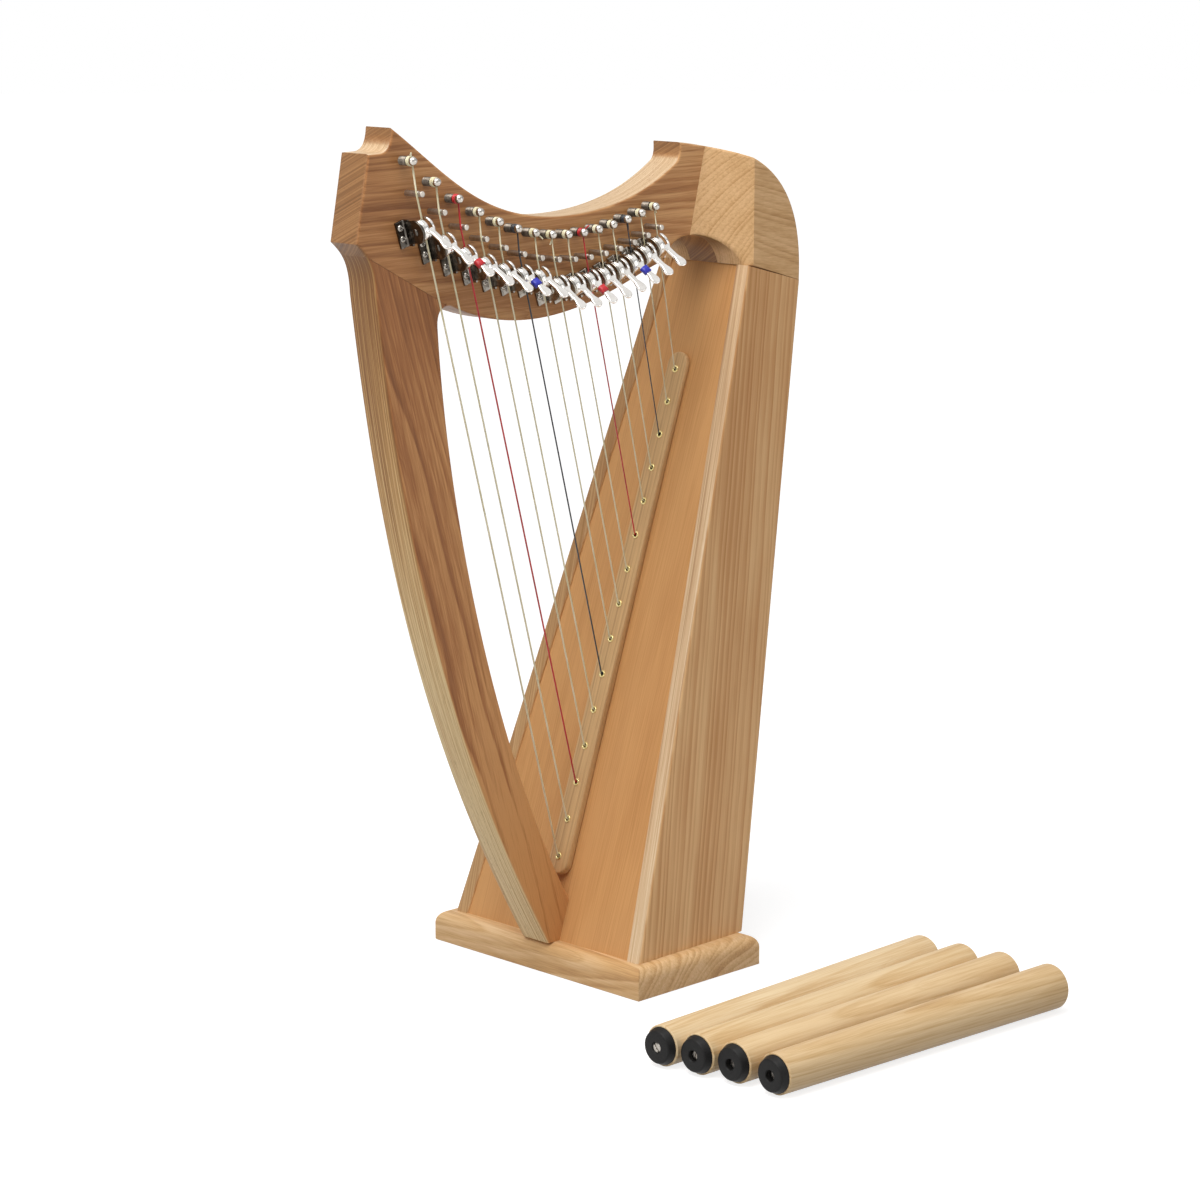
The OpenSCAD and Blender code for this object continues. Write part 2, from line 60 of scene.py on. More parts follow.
def thinned(points):
    """The closed outline without points that repeat the one before them."""
    step = np.linalg.norm(points - np.roll(points, 1, 0), axis=1)
    return points[step > 1e-6]


def slab(outline, low, high, round_low, round_high, lay, free=None, steps=5, inwards=None):
    """A board sawn to a closed outline, with its edges rounded over.

    For t from 0 to 90 degrees each outline point moves inwards by r (1 - sin t) while the
    surface climbs by r (1 - cos t), first from the low face and then back from the high
    one. One more ring, 0.3 mm further in, keeps the shading of each flat face flat. Glued
    edges, where free is near 0, stay where they are. low and high are numbers or functions
    of the outline's two coordinates, and lay puts (a, b, depth) in space.
    """
    outline = np.asarray(outline, float)
    along = unit(np.roll(outline, -1, 0) - outline)
    x, y = outline.T
    turn = np.sign(np.sum(x * np.roll(y, -1) - y * np.roll(x, -1)))
    after = turn * np.stack([-along[:, 1], along[:, 0]], 1)
    before = np.roll(after, 1, 0)
    free = np.ones(len(outline)) if free is None else np.asarray(free, float)
    f2, f1 = free[:, None], np.roll(free, 1)[:, None]
    c = np.sum(before * after, 1, keepdims=True)
    corner = (f1 * (before - c * after) + f2 * (after - c * before)) / np.maximum(1 - c * c, 1e-9)
    mitre = (f1 + f2) / 2 * (before + after) / np.maximum(1 + c, 1e-3)
    way = np.where(1 - c * c > 0.02, corner, mitre)
    for i, v in (inwards or {}).items():
        way[i] = v
    t = np.linspace(0, math.pi / 2, steps)
    rows = []
    for edge, face, sign in ((round_low, low, 1), (round_high, high, -1)):
        r = np.maximum(np.broadcast_to(edge, len(outline)), 0.02)
        inset = np.vstack([r + 0.3, (1 - np.sin(t))[:, None] * r])
        climb = np.vstack([0 * r, (1 - np.cos(t))[:, None] * r])
        q = outline + way * inset[:, :, None]
        depth = (face(q[..., 0], q[..., 1]) if callable(face) else face) + sign * climb
        ring = lay(q[..., 0], q[..., 1], depth)
        rows.append(ring if sign > 0 else ring[::-1])
    return np.vstack(rows)


def piece(name, surfaces, finish, body, *stands_for, slot=None, crease=32, folds=()):
    """One object from closed surfaces, each a grid of points (rows, around, 3).

    Neighbouring points make the faces, which close round the second axis. The end rows
    are closed by one flat face each, or, where the last row repeats the first, the grid
    closes on itself like a ring. folds splits a first row's face between two points.
    """
    points, faces, offset = [], [], 0
    for number, grid in enumerate(surfaces):
        grid = np.asarray(grid, float)
        ring = np.allclose(grid[0], grid[-1])
        grid = grid[:-1] if ring else grid
        rows, around = grid.shape[:2]
        at = np.arange(rows * around).reshape(rows, around)
        down = np.roll(at, -1, 0) if ring else at[1:]
        top = at if ring else at[:-1]
        quads = np.stack([top, np.roll(top, -1, 1), np.roll(down, -1, 1), down], -1).reshape(-1, 4)
        caps = []
        if not ring:
            if number < len(folds) and folds[number]:
                i, j = sorted(folds[number])
                caps += [at[0, i:j + 1][::-1], np.r_[at[0, j:], at[0, :i + 1]][::-1]]
            else:
                caps.append(at[0][::-1])
            caps.append(at[-1])
        flat = grid.reshape(-1, 3)
        tri = np.vstack([quads[:, [0, 1, 2]], quads[:, [0, 2, 3]]]
                        + [np.stack([np.full(len(k) - 2, k[0]), k[1:-1], k[2:]], 1) for k in caps])
        a, b, c = (flat[tri[:, i]] - flat.mean(0) for i in range(3))
        inside_out = np.sum(a * np.cross(b, c)) < 0
        made = quads.tolist() + [k.tolist() for k in caps]
        faces += [[v + offset for v in (f[::-1] if inside_out else f)] for f in made]
        points.append(flat)
        offset += len(flat)
    mesh = bpy.data.meshes.new(name)
    mesh.from_pydata((np.vstack(points) * 0.001).tolist(), [], faces)
    shape = bmesh.new()
    shape.from_mesh(mesh)
    bmesh.ops.remove_doubles(shape, verts=shape.verts, dist=2e-6)
    bmesh.ops.dissolve_degenerate(shape, edges=shape.edges, dist=1e-6)
    shape.to_mesh(mesh)
    shape.free()
    return fitted(name, mesh, finish, body, *stands_for, slot=slot, crease=crease)


def placed(name, data):
    """A new object in the scene, made of the data."""
    obj = bpy.data.objects.new(name, data)
    bpy.context.scene.collection.objects.link(obj)
    return obj


def fitted(name, mesh, finish, body, *stands_for, slot=None, crease=32):
    """Puts a mesh in the scene as a piece of the body, with its finish and its nodes."""
    mesh.materials.append(finish)
    mesh.shade_smooth()
    mesh.set_sharp_from_angle(angle=math.radians(crease))
    obj = placed(name, mesh)
    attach(obj, body)
    if stands_for:
        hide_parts(*stands_for)
    return obj


def dressed(node_name, finish):
    """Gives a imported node, whose shape is right as it is, its finish."""
    data = frame["nodes"][node_name].data
    data.materials.clear()
    data.materials.append(finish)


def paint(code):
    """A linear colour from an sRGB hex code."""
    c = np.array([int(code[i:i + 2], 16) for i in (1, 3, 5)]) / 255
    return (*np.where(c <= 0.04045, c / 12.92, ((c + 0.055) / 1.055) ** 2.4), 1.0)


def feed(node, inputs):
    """Sets a node's inputs, given in order or by name. Each is a value, or the socket that
    it is linked from, or a node, which stands for its first socket."""
    for key, value in inputs.items() if isinstance(inputs, dict) else enumerate(inputs):
        if isinstance(value, bpy.types.Node):
            value = value.outputs[0]
        if isinstance(value, bpy.types.NodeSocket):
            node.id_data.links.new(value, node.inputs[key])
        else:
            node.inputs[key].default_value = value


def add(tree, kind, inputs=(), stops=(), **settings):
    """Adds a node with its settings and inputs, and the (position, hex or grey level) stops
    of a colour ramp."""
    made = tree.nodes.new("ShaderNode" + kind)
    for key, value in settings.items():
        setattr(made, key, value)
    feed(made, inputs)
    if stops:
        band = made.color_ramp.elements
        while len(band) < len(stops):
            band.new(0.5)
        for element, (position, colour) in zip(band, stops):
            element.position = position
            element.color = paint(colour) if isinstance(colour, str) else (colour,) * 3 + (1,)
    return made


def surface(name):
    """A new material, its node tree, its Principled shader and the place of each point."""
    material = bpy.data.materials.new(name)
    material.use_nodes = True
    tree = material.node_tree
    place = add(tree, "TexCoord").outputs["Object"]
    return material, tree, tree.nodes["Principled BSDF"], place


def board_wood(name, along, heart, pale, body, streak, ring=4.0, sway=9.0, cone=0.0,
               rings=0.55, pores=0.4, fibre=0.42, cloud=0.35, gloss=0.42, fade=0.0, edges=()):
    """Planed and oiled wood, as rings round the line where the tree's heart lay.

    Along is the way the fibres run and heart a point on the heart's line. The distance
    from that line, pushed about by slow noise, is cut into yearly rings. Each starts
    with a dark open-pored band that fades into pale summer wood. Streaks 20 mm long
    are the pores, drawn 0.7 mm wide, coarser than real ones, so that they show. The
    board grows darker by fade per metre along it.
    Sawn edges show finer grain. Their tones are also painted light and painted shade, set by the
    way a face looks: each entry of edges is the way such an edge faces, the way across its grain,
    how much darker it grows per metre of the board, and its tones.
    """
    material, tree, shader, place = surface(name)
    g = unit(along)
    b = unit(np.cross(g, (0, 1, 0) if abs(g[1]) < 0.9 else (0, 0, 1)))
    a = np.cross(b, g)
    turn = Matrix([g.tolist(), a.tolist(), b.tolist()])
    shift = -(np.array([g, a, b]) @ np.asarray(heart, float))
    local = add(tree, "Mapping", {"Vector": place, "Location": shift.tolist(),
                                  "Rotation": turn.to_euler("XYZ"), "Scale": (1000, 1000, 1000)})

    def stretched(x, y, z, detail=2.0, rough=0.5):
        """Noise whose cells are x by y by z millimetres, as a grey level and a colour."""
        cells = add(tree, "VectorMath", (local, (1 / x, 1 / y, 1 / z)), operation="MULTIPLY")
        return add(tree, "TexNoise", {"Vector": cells, "Scale": 1.0, "Detail": detail,
                                      "Roughness": rough}).outputs

    drift = add(tree, "VectorMath", (stretched(240, 75, 75)["Color"], (0.5, 0.5, 0.5)),
                operation="SUBTRACT")
    drift = add(tree, "VectorMath", (drift, (0, 2 * sway, 2 * sway), local),
                operation="MULTIPLY_ADD")
    ripple = (0, sway * 0.09, sway * 0.09)
    swayed = add(tree, "VectorMath", (stretched(42, 9, 9)["Color"], ripple, drift),
                 operation="MULTIPLY_ADD")
    split = add(tree, "SeparateXYZ", (swayed,)).outputs
    flat = add(tree, "CombineXYZ", {1: split[1], 2: split[2]})
    radius = add(tree, "VectorMath", (flat,), operation="LENGTH").outputs["Value"]
    radius = add(tree, "Math", (split[0], cone, radius), operation="MULTIPLY_ADD")
    half = add(tree, "Math", (radius, 0.5 / ring), operation="MULTIPLY")
    uneven = add(tree, "TexNoise", {"W": half, "Scale": 1.0, "Detail": 1.0}, noise_dimensions="1D")
    uneven = add(tree, "Math", (uneven, 1.3), operation="MULTIPLY")
    even = add(tree, "Math", (radius, ring), operation="DIVIDE")
    years = add(tree, "Math", (even, uneven), operation="ADD")
    number = add(tree, "Math", (years,), operation="FLOOR")
    dark = add(tree, "TexWhiteNoise", {"W": number}, noise_dimensions="1D").outputs["Value"]
    dark = add(tree, "Math", (dark, 0.7, 0.45), operation="MULTIPLY_ADD")
    year = add(tree, "Math", (years,), operation="FRACT")
    early = add(tree, "ValToRGB", (year,), stops=[(0.0, 0.5), (0.09, 0.92), (0.3, 0.6), (0.62, 0.2),
                                                  (0.9, 0.06), (1.0, 0.5)])
    early = add(tree, "Math", (early, dark), operation="MULTIPLY")
    tone = add(tree, "Math", (split[0], 0.001 * fade, 0.1), operation="MULTIPLY_ADD")
    tone = add(tree, "Math", (early, rings, tone), operation="MULTIPLY_ADD")
    for noise, strength in ((stretched(70, 1.5, 1.5, 3.0, 0.6), 2.2 * fibre),
                            (stretched(26, 0.5, 0.5, 2.0, 0.6), 1.4 * fibre),
                            (stretched(150, 26, 26), 2.0 * cloud)):
        centred = add(tree, "Math", (noise["Fac"], 0.5), operation="SUBTRACT")
        tone = add(tree, "Math", (centred, strength, tone), operation="MULTIPLY_ADD")
    colour = add(tree, "ValToRGB", (tone,), stops=[(0.0, pale), (0.42, body), (1.0, streak)])
    # Faces that look the way of an entry get its tones: the finer grain of a sawn edge, partly painted
    # light and painted shade.
    for facing, across, darker, *tones in edges:
        near = add(tree, "VectorMath", (place.node.outputs["Normal"], unit(facing).tolist()),
                   operation="DOT_PRODUCT").outputs["Value"]
        near = add(tree, "ValToRGB", (near,), stops=[(0.5, 0.0), (0.8, 1.0)])
        over = add(tree, "VectorMath", (place, (unit(across) * 900).tolist()),
                   operation="DOT_PRODUCT").outputs["Value"]
        down = add(tree, "SeparateXYZ", (local,)).outputs[0]
        slow = add(tree, "Math", (down, 0.006), operation="MULTIPLY")
        edge_grain_and_shading = add(tree, "TexNoise", {"Vector": add(tree, "CombineXYZ", (over, slow)), "Scale": 1.0,
                                       "Detail": 3.0, "Roughness": 0.6})
        shade = add(tree, "Math", (down, 0.001 * darker), operation="MULTIPLY")
        shade = add(tree, "Math", (shade, -0.25), operation="MAXIMUM")
        shade = add(tree, "Math", (shade, 1.0), operation="SUBTRACT")
        edge_grain_and_shading = add(tree, "Math", (edge_grain_and_shading, 2.6, shade), operation="MULTIPLY_ADD")
        edge_grain_and_shading = add(tree, "ValToRGB", (edge_grain_and_shading,), stops=list(zip((0.0, 0.42, 1.0), tones)))
        colour = add(tree, "Mix", {0: near, 6: colour, 7: edge_grain_and_shading}, data_type="RGBA").outputs[2]
    holes = add(tree, "ValToRGB", (stretched(20, 0.7, 0.7, 1.0)["Fac"],),
                stops=[(0.5, 0.0), (0.72, 1.0)])
    spring = add(tree, "Math", (early, 0.8, 0.2), operation="MULTIPLY_ADD")
    holes = add(tree, "Math", (holes, spring), operation="MULTIPLY")
    shown = add(tree, "Math", (holes, pores), operation="MULTIPLY")
    raised = add(tree, "Math", (early, -0.5), operation="MULTIPLY")
    raised = add(tree, "Math", (holes, -1.0, raised), operation="MULTIPLY_ADD")
    feed(shader, {
        "Base Color": add(tree, "Mix", {0: shown, 6: colour, 7: paint(streak)},
                          data_type="RGBA").outputs[2],
        "Roughness": add(tree, "Math", (holes, 0.2, gloss), operation="MULTIPLY_ADD"),
        "Normal": add(tree, "Bump", {"Height": raised, "Strength": 0.12, "Distance": 0.0002}),
        "Specular IOR Level": 0.28})
    return material


def upright(x, z, y):
    """Lays an outline drawn in X and Z, with its depth along Y."""
    return np.stack(np.broadcast_arrays(x, y, z), -1)


def level(x, y, z):
    """Lays an outline drawn in X and Y, with its depth along Z."""
    return np.stack(np.broadcast_arrays(x, y, z), -1)


def arc(centre, r, start, end, n):
    """Points on a circle, from the start angle to the end angle in degrees."""
    a = np.radians(np.linspace(start, end, n))
    return np.asarray(centre) + r * np.stack([np.cos(a), np.sin(a)], 1)


plinth_outline = np.array([(1, 1), (-1, 1), (-1, -1), (1, -1)]) * PLINTH[:2] / 2
ash_plinth = board_wood("ash board, planed and oiled, plinth", (0.03, 1, 0), (100, 0, -115),
                        "#E0BD90", "#CBA16E", "#A07245", ring=5.5, sway=10, cone=0.05)
piece("plinth", [slab(plinth_outline, 0, PLINTH[2], EASED, MOULDED, level, steps=9)],
      ash_plinth, "harp", "base", slot="ash")

# Brass turned on a lathe: warm yellow and fairly bright, with slightly uneven colour.
brass, tree, shader, place = surface("brass, turned")
tint = add(tree, "TexNoise", {"Vector": place, "Scale": 900.0, "Detail": 3.0})
feed(shader, {"Metallic": 1.0, "Roughness": 0.28, "Base Color": add(
    tree, "ValToRGB", (tint,), stops=[(0.3, "#C2AC6C"), (0.7, "#EFE0A6")])})
dressed("base_inserts", brass)


# ---- soundbox ----
# Two tapering ash side panels, nearly 12 mm thick, lean back from the plinth with their
# grain upright. A thin soundboard is let in just behind their front edges, and a back
# panel with three round access holes closes the box.

LEAN = math.radians(18.9)
FRONT, BOX_DEPTH = 496.0, 110.0
BOX_HALF, TOP_HALF = 93.4, 43.4
FOOT = np.array([-PLINTH[0] / 2 + 10.6, PLINTH[2]])
CORNER = FOOT + FRONT * np.array([math.sin(LEAN), math.cos(LEAN)])
SEAM_BACK = CORNER + [55.5, -14.3]
TAPER = (BOX_HALF - TOP_HALF) / FRONT


def up_board(x, z):
    """Distance of a point from the plinth, measured up the soundboard."""
    return (x - FOOT[0]) * math.sin(LEAN) + (z - FOOT[1]) * math.cos(LEAN)


def side_face(x, z):
    """The Y of the right side's outer face, which tapers in as it rises."""
    return TAPER * up_board(x, z) - BOX_HALF


def mirrored(grids):
    """The same surfaces on the other side of the strings' plane."""
    return [g * [1, -1, 1] for g in grids]


PANEL = 11.8 / math.cos(math.atan(TAPER))
GLUED = 0.05
side_outline = np.array([FOOT, FOOT + [BOX_DEPTH, 0], SEAM_BACK, CORNER])
side = [slab(side_outline, side_face, lambda x, z: side_face(x, z) + PANEL,
             [2.4, 1.6, 1.6, 2.4], [1.2, 1.2, 1.2, 1.2], upright, free=[GLUED, 1, GLUED, 1])]
OUT_OF_BOARD = (-math.cos(LEAN), 0, math.sin(LEAN))
EDGE_ACROSS = (TAPER * -math.sin(LEAN), 1, -TAPER * math.cos(LEAN))
# The front edges get paler tones than the faces, the left one's less pale: partly the finer grain of a
# sawn edge, partly painted light.
for hand, wood, form, sign, ring, sway, tones in (
        ("right", "sides", side, 1, 3.6, 3, ("#DFC7A4", "#CEAE88", "#A97F57")),
        ("left", "left side", mirrored(side), -1, 3.8, 4, ("#C19D70", "#B1885B", "#91643B"))):
    ash_side = board_wood("ash board, planed and oiled, " + wood, (0.21, 0.1 * sign, 1),
                          (200, 110 * sign, 0), "#DDB583", "#C59461", "#A8703C", ring=ring,
                          sway=sway, rings=0.5, fibre=0.2, pores=0.15, fade=0.4,
                          edges=[(OUT_OF_BOARD, EDGE_ACROSS, 0.8, *tones)])
    piece("side_panel_" + hand, form, ash_side, "harp", "side_" + hand, slot="ash")

board = board_wood("spruce soundboard, quarter-sawn and varnished", (0.324, 0, 0.946),
                   (-50, 400, 22), "#CC9861", "#BD8954", "#9E6C3E", ring=1.9, sway=7,
                   rings=0.28, pores=0.15, fibre=0.3, cloud=0.5, gloss=0.45)
dressed("soundboard", board)
dressed("back_panel", board_wood("birch ply back, varnished", (0.227, 0, 0.97), (60, 300, 22),
                                 "#C79F70", "#B88F60", "#97704A", ring=4.5, sway=8, rings=0.35,
                                 pores=0.2, cloud=0.4))


# ---- string rib ----
# An ash batten glued up the middle of the soundboard, thinner towards the treble, with
# its edges eased. Fifteen brass eyelets line the holes that the strings go through.

STRINGS = 15
LAST = STRINGS - 1
RECESS = 1.5
RIB = (6.6, 4.6)


def hole_up(k):
    """Distance of string hole k from the plinth, up the soundboard; the gaps close up."""
    return 58.4 + 27.2 * k - 0.12 * k * k


def rib_front(s):
    """Depth of the rib's front face in the box, negative in front of the panels."""
    return RECESS - RIB[0] + (RIB[0] - RIB[1]) * (s - hole_up(0)) / (hole_up(LAST) - hole_up(0))


def in_box(x, s):
    """A point in the strings' plane, x behind the panels' front edges and s up the board."""
    x, s = np.broadcast_arrays(x, s)
    return np.stack([FOOT[0] + x * math.cos(LEAN) + s * math.sin(LEAN), 0.0 * s,
                     FOOT[1] - x * math.sin(LEAN) + s * math.cos(LEAN)], -1)


def softened(name, node_name, width, finish, slot, stays_sharp):
    """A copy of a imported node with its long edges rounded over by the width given."""
    mesh = frame["nodes"][node_name].data.copy()
    shape = bmesh.new()
    shape.from_mesh(mesh)
    bmesh.ops.remove_doubles(shape, verts=shape.verts, dist=1e-5)
    bmesh.ops.dissolve_limit(shape, angle_limit=math.radians(1), verts=shape.verts,
                             edges=shape.edges)
    edges = [e for e in shape.edges if len(e.link_faces) == 2
             and e.calc_face_angle(0) > math.radians(40) and not stays_sharp(e)]
    bmesh.ops.bevel(shape, geom=edges, offset=width * 0.001, segments=4, profile=0.5,
                    affect="EDGES", clamp_overlap=True)
    shape.to_mesh(mesh)
    shape.free()
    mesh.materials.clear()
    return fitted(name, mesh, finish, "harp", node_name, slot=slot, crease=35)


hole_points = in_box(rib_front(hole_up(np.arange(STRINGS))), hole_up(np.arange(STRINGS))) * 0.001
ash_rib = board_wood("ash batten, planed and oiled", (0.324, 0, 0.946), (-60, 60, 22),
                     "#D2AC7A", "#BF996B", "#9A7248", ring=3.2, sway=3)


def at_hole(edge):
    """True for an edge round a string hole: within 3 mm of the rib's middle line, and
    within 7.5 mm of a hole."""
    middle = np.array(edge.verts[0].co + edge.verts[1].co) / 2
    away = np.linalg.norm((hole_points - middle)[:, [0, 2]], axis=1)
    return away.min() < 0.0075 and abs(edge.verts[0].co.y) < 0.003


softened("string_batten", "string_rib", 1.5, ash_rib, "ash", at_hole)


def turned(profile, around=32):
    """A lathe-turned form: (radius, height) points swept round the third axis."""
    profile = np.asarray(profile, float)
    a = np.linspace(0, 2 * math.pi, around, endpoint=False)
    r, h = profile[:, 0, None], profile[:, 1, None]
    return np.stack(np.broadcast_arrays(r * np.cos(a), r * np.sin(a), h), -1)


def set_at(grid, origin, x_way, y_way, z_way):
    """Moves a form from its own axes to the place and the three ways given."""
    return np.asarray(origin) + grid @ np.array([x_way, y_way, z_way], float)


UP_THE_BOARD = (math.sin(LEAN), 0, math.cos(LEAN))
lip = np.vstack([arc((2.0, 0.15), 0.7, 180, 0, 9), [[2.7, -0.1], [1.9, -0.12], [1.9, -3.6],
                                                    [1.5, -3.6]]])
lip = np.vstack([lip, lip[:1]])
piece("brass_eyelets", [set_at(turned(lip, 28), in_box(rib_front(hole_up(k)), hole_up(k)),
                               (0, 1, 0), UP_THE_BOARD, OUT_OF_BOARD) for k in range(STRINGS)],
      brass, "harp", "string_eyelets", slot="brass")


# ---- pillar, neck and shoulders ----
# The neck and the pillar are sawn from 27 mm ash and glued at a slanting joint below the
# head. Bevelled shoulder blocks, one on each side, widen the neck to the soundbox. The
# edges are rounded over by hand, and only the glued seams are crisp.

THICK = 27.0
FACE = -THICK / 2


def bezier(points, n):
    """The cubic curve (1-t)^3 a + 3t(1-t)^2 b + 3t^2(1-t) c + t^3 d, in n steps."""
    t = np.linspace(0, 1, n + 1)[:, None]
    a, b, c, d = np.asarray(points, float)
    return (1 - t) ** 3 * a + 3 * t * (1 - t) ** 2 * b + 3 * t * t * (1 - t) * c + t ** 3 * d


COVE, COVE_END = np.array([-28.25, -7.8]), np.array([-55, 4.2])
cove_turns = [math.degrees(math.atan2(p[1], p[0])) for p in (-COVE, COVE_END - COVE)]
head_peak, neck_dip = CORNER + [-308.2, 108.9], CORNER + [-157.1, 43]
nose_foot, nose_tip = CORNER + [-43.8, 73.2], CORNER + [-39.6, 87.3]
hollow, hollow_low = CORNER + [-257.2, -10.5], CORNER + [-269.1, -23.3]
front_top, chin = CORNER + [-323.8, 0.7], CORNER + [-339.8, 35.7]
frame_outline = thinned(np.vstack([
    bezier([head_peak, CORNER + [-259.6, 77.3], CORNER + [-228.3, 43.8], neck_dip], 28),
    bezier([neck_dip, CORNER + [-95.3, 43.1], CORNER + [-61.7, 61.7], nose_foot], 24),
    bezier([nose_foot, CORNER + [-39.8, 75.7], CORNER + [-38.8, 79.7], nose_tip], 8),
    bezier([nose_tip, CORNER + [22.2, 80.7], CORNER + [67.7, 60], SEAM_BACK], 44),
    arc(CORNER + COVE, np.hypot(*COVE), cove_turns[0], cove_turns[1], 32),
    bezier([CORNER + COVE_END, CORNER + [-76, 3.4], CORNER + [-164.2, -51.5], hollow], 36),
    bezier([hollow, CORNER + [-264.8, -9.8], CORNER + [-269.4, -13.3], hollow_low], 10),
    bezier([hollow_low, CORNER + [-260.4, -163.1], FOOT + [-53.1, 142.1], FOOT + [9, 33.4]], 40),
    [FOOT + [16, 21.5], FOOT + [16, 0]],
    bezier([FOOT + [-9.3, 0], FOOT + [-96.9, 147.6], CORNER + [-299.3, -188.3], front_top], 40),
    bezier([front_top, CORNER + [-324.8, 19.7], CORNER + [-328.8, 26.7], chin], 12),
    [CORNER + [-329, 93]],
    bezier([CORNER + [-318.8, 93.3], CORNER + [-312.3, 93.9], CORNER + [-308.8, 98.2], head_peak], 10)]))


def sawn(outline, through, way):
    """The part of an outline on the side of a straight cut that the way points to."""
    side = (outline - through) @ np.asarray(way, float)
    start = np.flatnonzero((side >= 0) & (np.roll(side, 1) < 0))[0]
    outline, side = np.roll(outline, -start, 0), np.roll(side, -start)
    kept = int(np.argmax(side < 0))
    ends = [outline[i] + (outline[j] - outline[i]) * side[i] / (side[i] - side[j])
            for i, j in ((0, -1), (kept - 1, kept))]
    return thinned(np.vstack([ends[0], outline[:kept], ends[1]]))


def glued_on(outline, through, way):
    """True for each edge of the outline that lies on a straight glued joint."""
    off = np.abs((outline - through) @ unit(way)) < 1e-4
    return off & np.roll(off, -1)


JOINT, JOINT_TILT = CORNER + [-330.8, 26.7], math.radians(27.7)
JOINT_WAY = np.array([math.sin(JOINT_TILT), math.cos(JOINT_TILT)])
BOARD_WAY = np.array([-math.cos(LEAN), math.sin(LEAN)])
BOARD_AT = FOOT - RECESS * BOARD_WAY
BEVEL_AT = CORNER + [-28.8, 21.5]
BEVEL, BEVEL_LEAN = math.tan(math.radians(37.5)), math.radians(13.6)
BEVEL_WAY = np.array([math.cos(BEVEL_LEAN), -math.sin(BEVEL_LEAN)])
EDGE = 2.0


def bevel_face(x, z):
    """The Y of the shoulder's bevel, which leaves the neck's face at 37.5 degrees."""
    return FACE - BEVEL * ((x - BEVEL_AT[0]) * BEVEL_WAY[0] + (z - BEVEL_AT[1]) * BEVEL_WAY[1])


neck_outline = sawn(frame_outline, JOINT, JOINT_WAY)
neck_free = np.where(glued_on(neck_outline, JOINT, JOINT_WAY), GLUED, 1.0)
ahead = (neck_outline - BEVEL_AT) @ BEVEL_WAY
neck_edge = EDGE * np.clip(-ahead / 6, 0.03, 1)
# Edges that face up get paler tones and those that face forward and down darker ones: partly the finer
# grain of sawn edges, partly painted light and painted shade.
ash_neck = board_wood("ash board, planed and oiled, neck", (1, 0, 0.03), (0, 70, 470),
                      "#CF9D69", "#B07A4B", "#7F4F2B", ring=4.6, sway=9, cone=0.02, pores=0.6,
                      fade=-1.3, edges=[((-0.3, 0, 1), (0, 1, 0), 0, "#CFB593", "#BD9E79", "#997551"),
                                        ((-1, 0, -0.5), (0.1, 0.5, 1), 0, "#A3784E", "#8C643F",
                                         "#66442A")])
piece("neck_board", [slab(neck_outline, FACE, -FACE, neck_edge, neck_edge, upright, free=neck_free)],
      ash_neck, "harp", "neck", slot="ash")

pillar_outline = sawn(sawn(frame_outline, JOINT, -JOINT_WAY), BOARD_AT, BOARD_WAY)
pillar_free = np.where(glued_on(pillar_outline, JOINT, JOINT_WAY)
                       | glued_on(pillar_outline, BOARD_AT, BOARD_WAY)
                       | glued_on(pillar_outline, FOOT, (0, 1)), GLUED, 1.0)
# The front edge gets paler tones that grow darker towards the top: partly sapwood and its finer grain,
# partly painted light.
ash_pillar = board_wood("ash board, planed and oiled, pillar", (0.27, 0.02, -1), (-190, 60, 300),
                        "#CB955F", "#A66D40", "#724424", ring=4.4, sway=7, cone=-0.05, fade=-1.4,
                        edges=[((-1, 0, -0.2), (0, 1, 0), -3.2, "#E2C795", "#BF945E", "#835831")])
piece("pillar_board", [slab(pillar_outline, FACE, -FACE, EDGE, EDGE, upright, free=pillar_free)],
      ash_pillar, "harp", "pillar", slot="ash")

shoulder_outline = sawn(frame_outline, BEVEL_AT, BEVEL_WAY)


def shoulder_face(x, z):
    """The shoulder's outer skin: the bevel, until it meets the side's tapering plane."""
    return np.maximum(side_face(x, z), bevel_face(x, z))


def with_fold(outline):
    """Adds the two points where the bevel meets the side plane, and gives their places."""
    gap = bevel_face(*outline.T) - side_face(*outline.T)
    after = np.roll(gap, -1)
    places = np.flatnonzero(gap * after < 0)
    share = (gap[places] / (gap[places] - after[places]))[:, None]
    points = outline[places] + share * (np.roll(outline, -1, 0)[places] - outline[places])
    return np.insert(outline, places + 1, points, 0), places + 1 + np.arange(len(places))


shoulder_outline, fold = with_fold(shoulder_outline)
skin = shoulder_face(*shoulder_outline.T)
shoulder_edge = np.clip(0.7 * (FACE - skin), 0.02, EDGE)
seam_way = np.array([-(SEAM_BACK - CORNER)[1], (SEAM_BACK - CORNER)[0]])
shoulder_free = np.where(glued_on(shoulder_outline, BEVEL_AT, BEVEL_WAY)
                         | glued_on(shoulder_outline, CORNER, seam_way), GLUED, 1.0)
fold_way = unit(shoulder_outline[fold[1]] - shoulder_outline[fold[0]])
shoulder = [slab(shoulder_outline, shoulder_face, FACE, shoulder_edge, 0.03, upright,
                 free=shoulder_free, inwards={fold[0]: fold_way, fold[1]: -fold_way})]
# Faces that look down, in the cove under each shoulder, get darker tones: painted shade, drawn with the
# finer grain of a sawn edge.
ash_shoulder = board_wood("ash block, planed and oiled, shoulders", (1, -0.06, -0.1), (100, -162, 472),
                          "#D6AE80", "#C09664", "#9C7043", ring=2.4, sway=4, rings=0.45,
                          edges=[((0, 0, -1), (0, 1, 0), 0, "#95724E", "#80603E", "#5F432A")])
for side_name, form in (("right", shoulder), ("left", mirrored(shoulder))):
    piece("shoulder_block_" + side_name, form, ash_shoulder, "harp", "shoulder_" + side_name,
          slot="ash", crease=28, folds=[tuple(fold)])


# ---- bridge pins ----
# Short steel rods driven into the neck, each with a groove that sets where its string
# starts to sound. They are plain and a little dull, with the rim of the tip rounded.


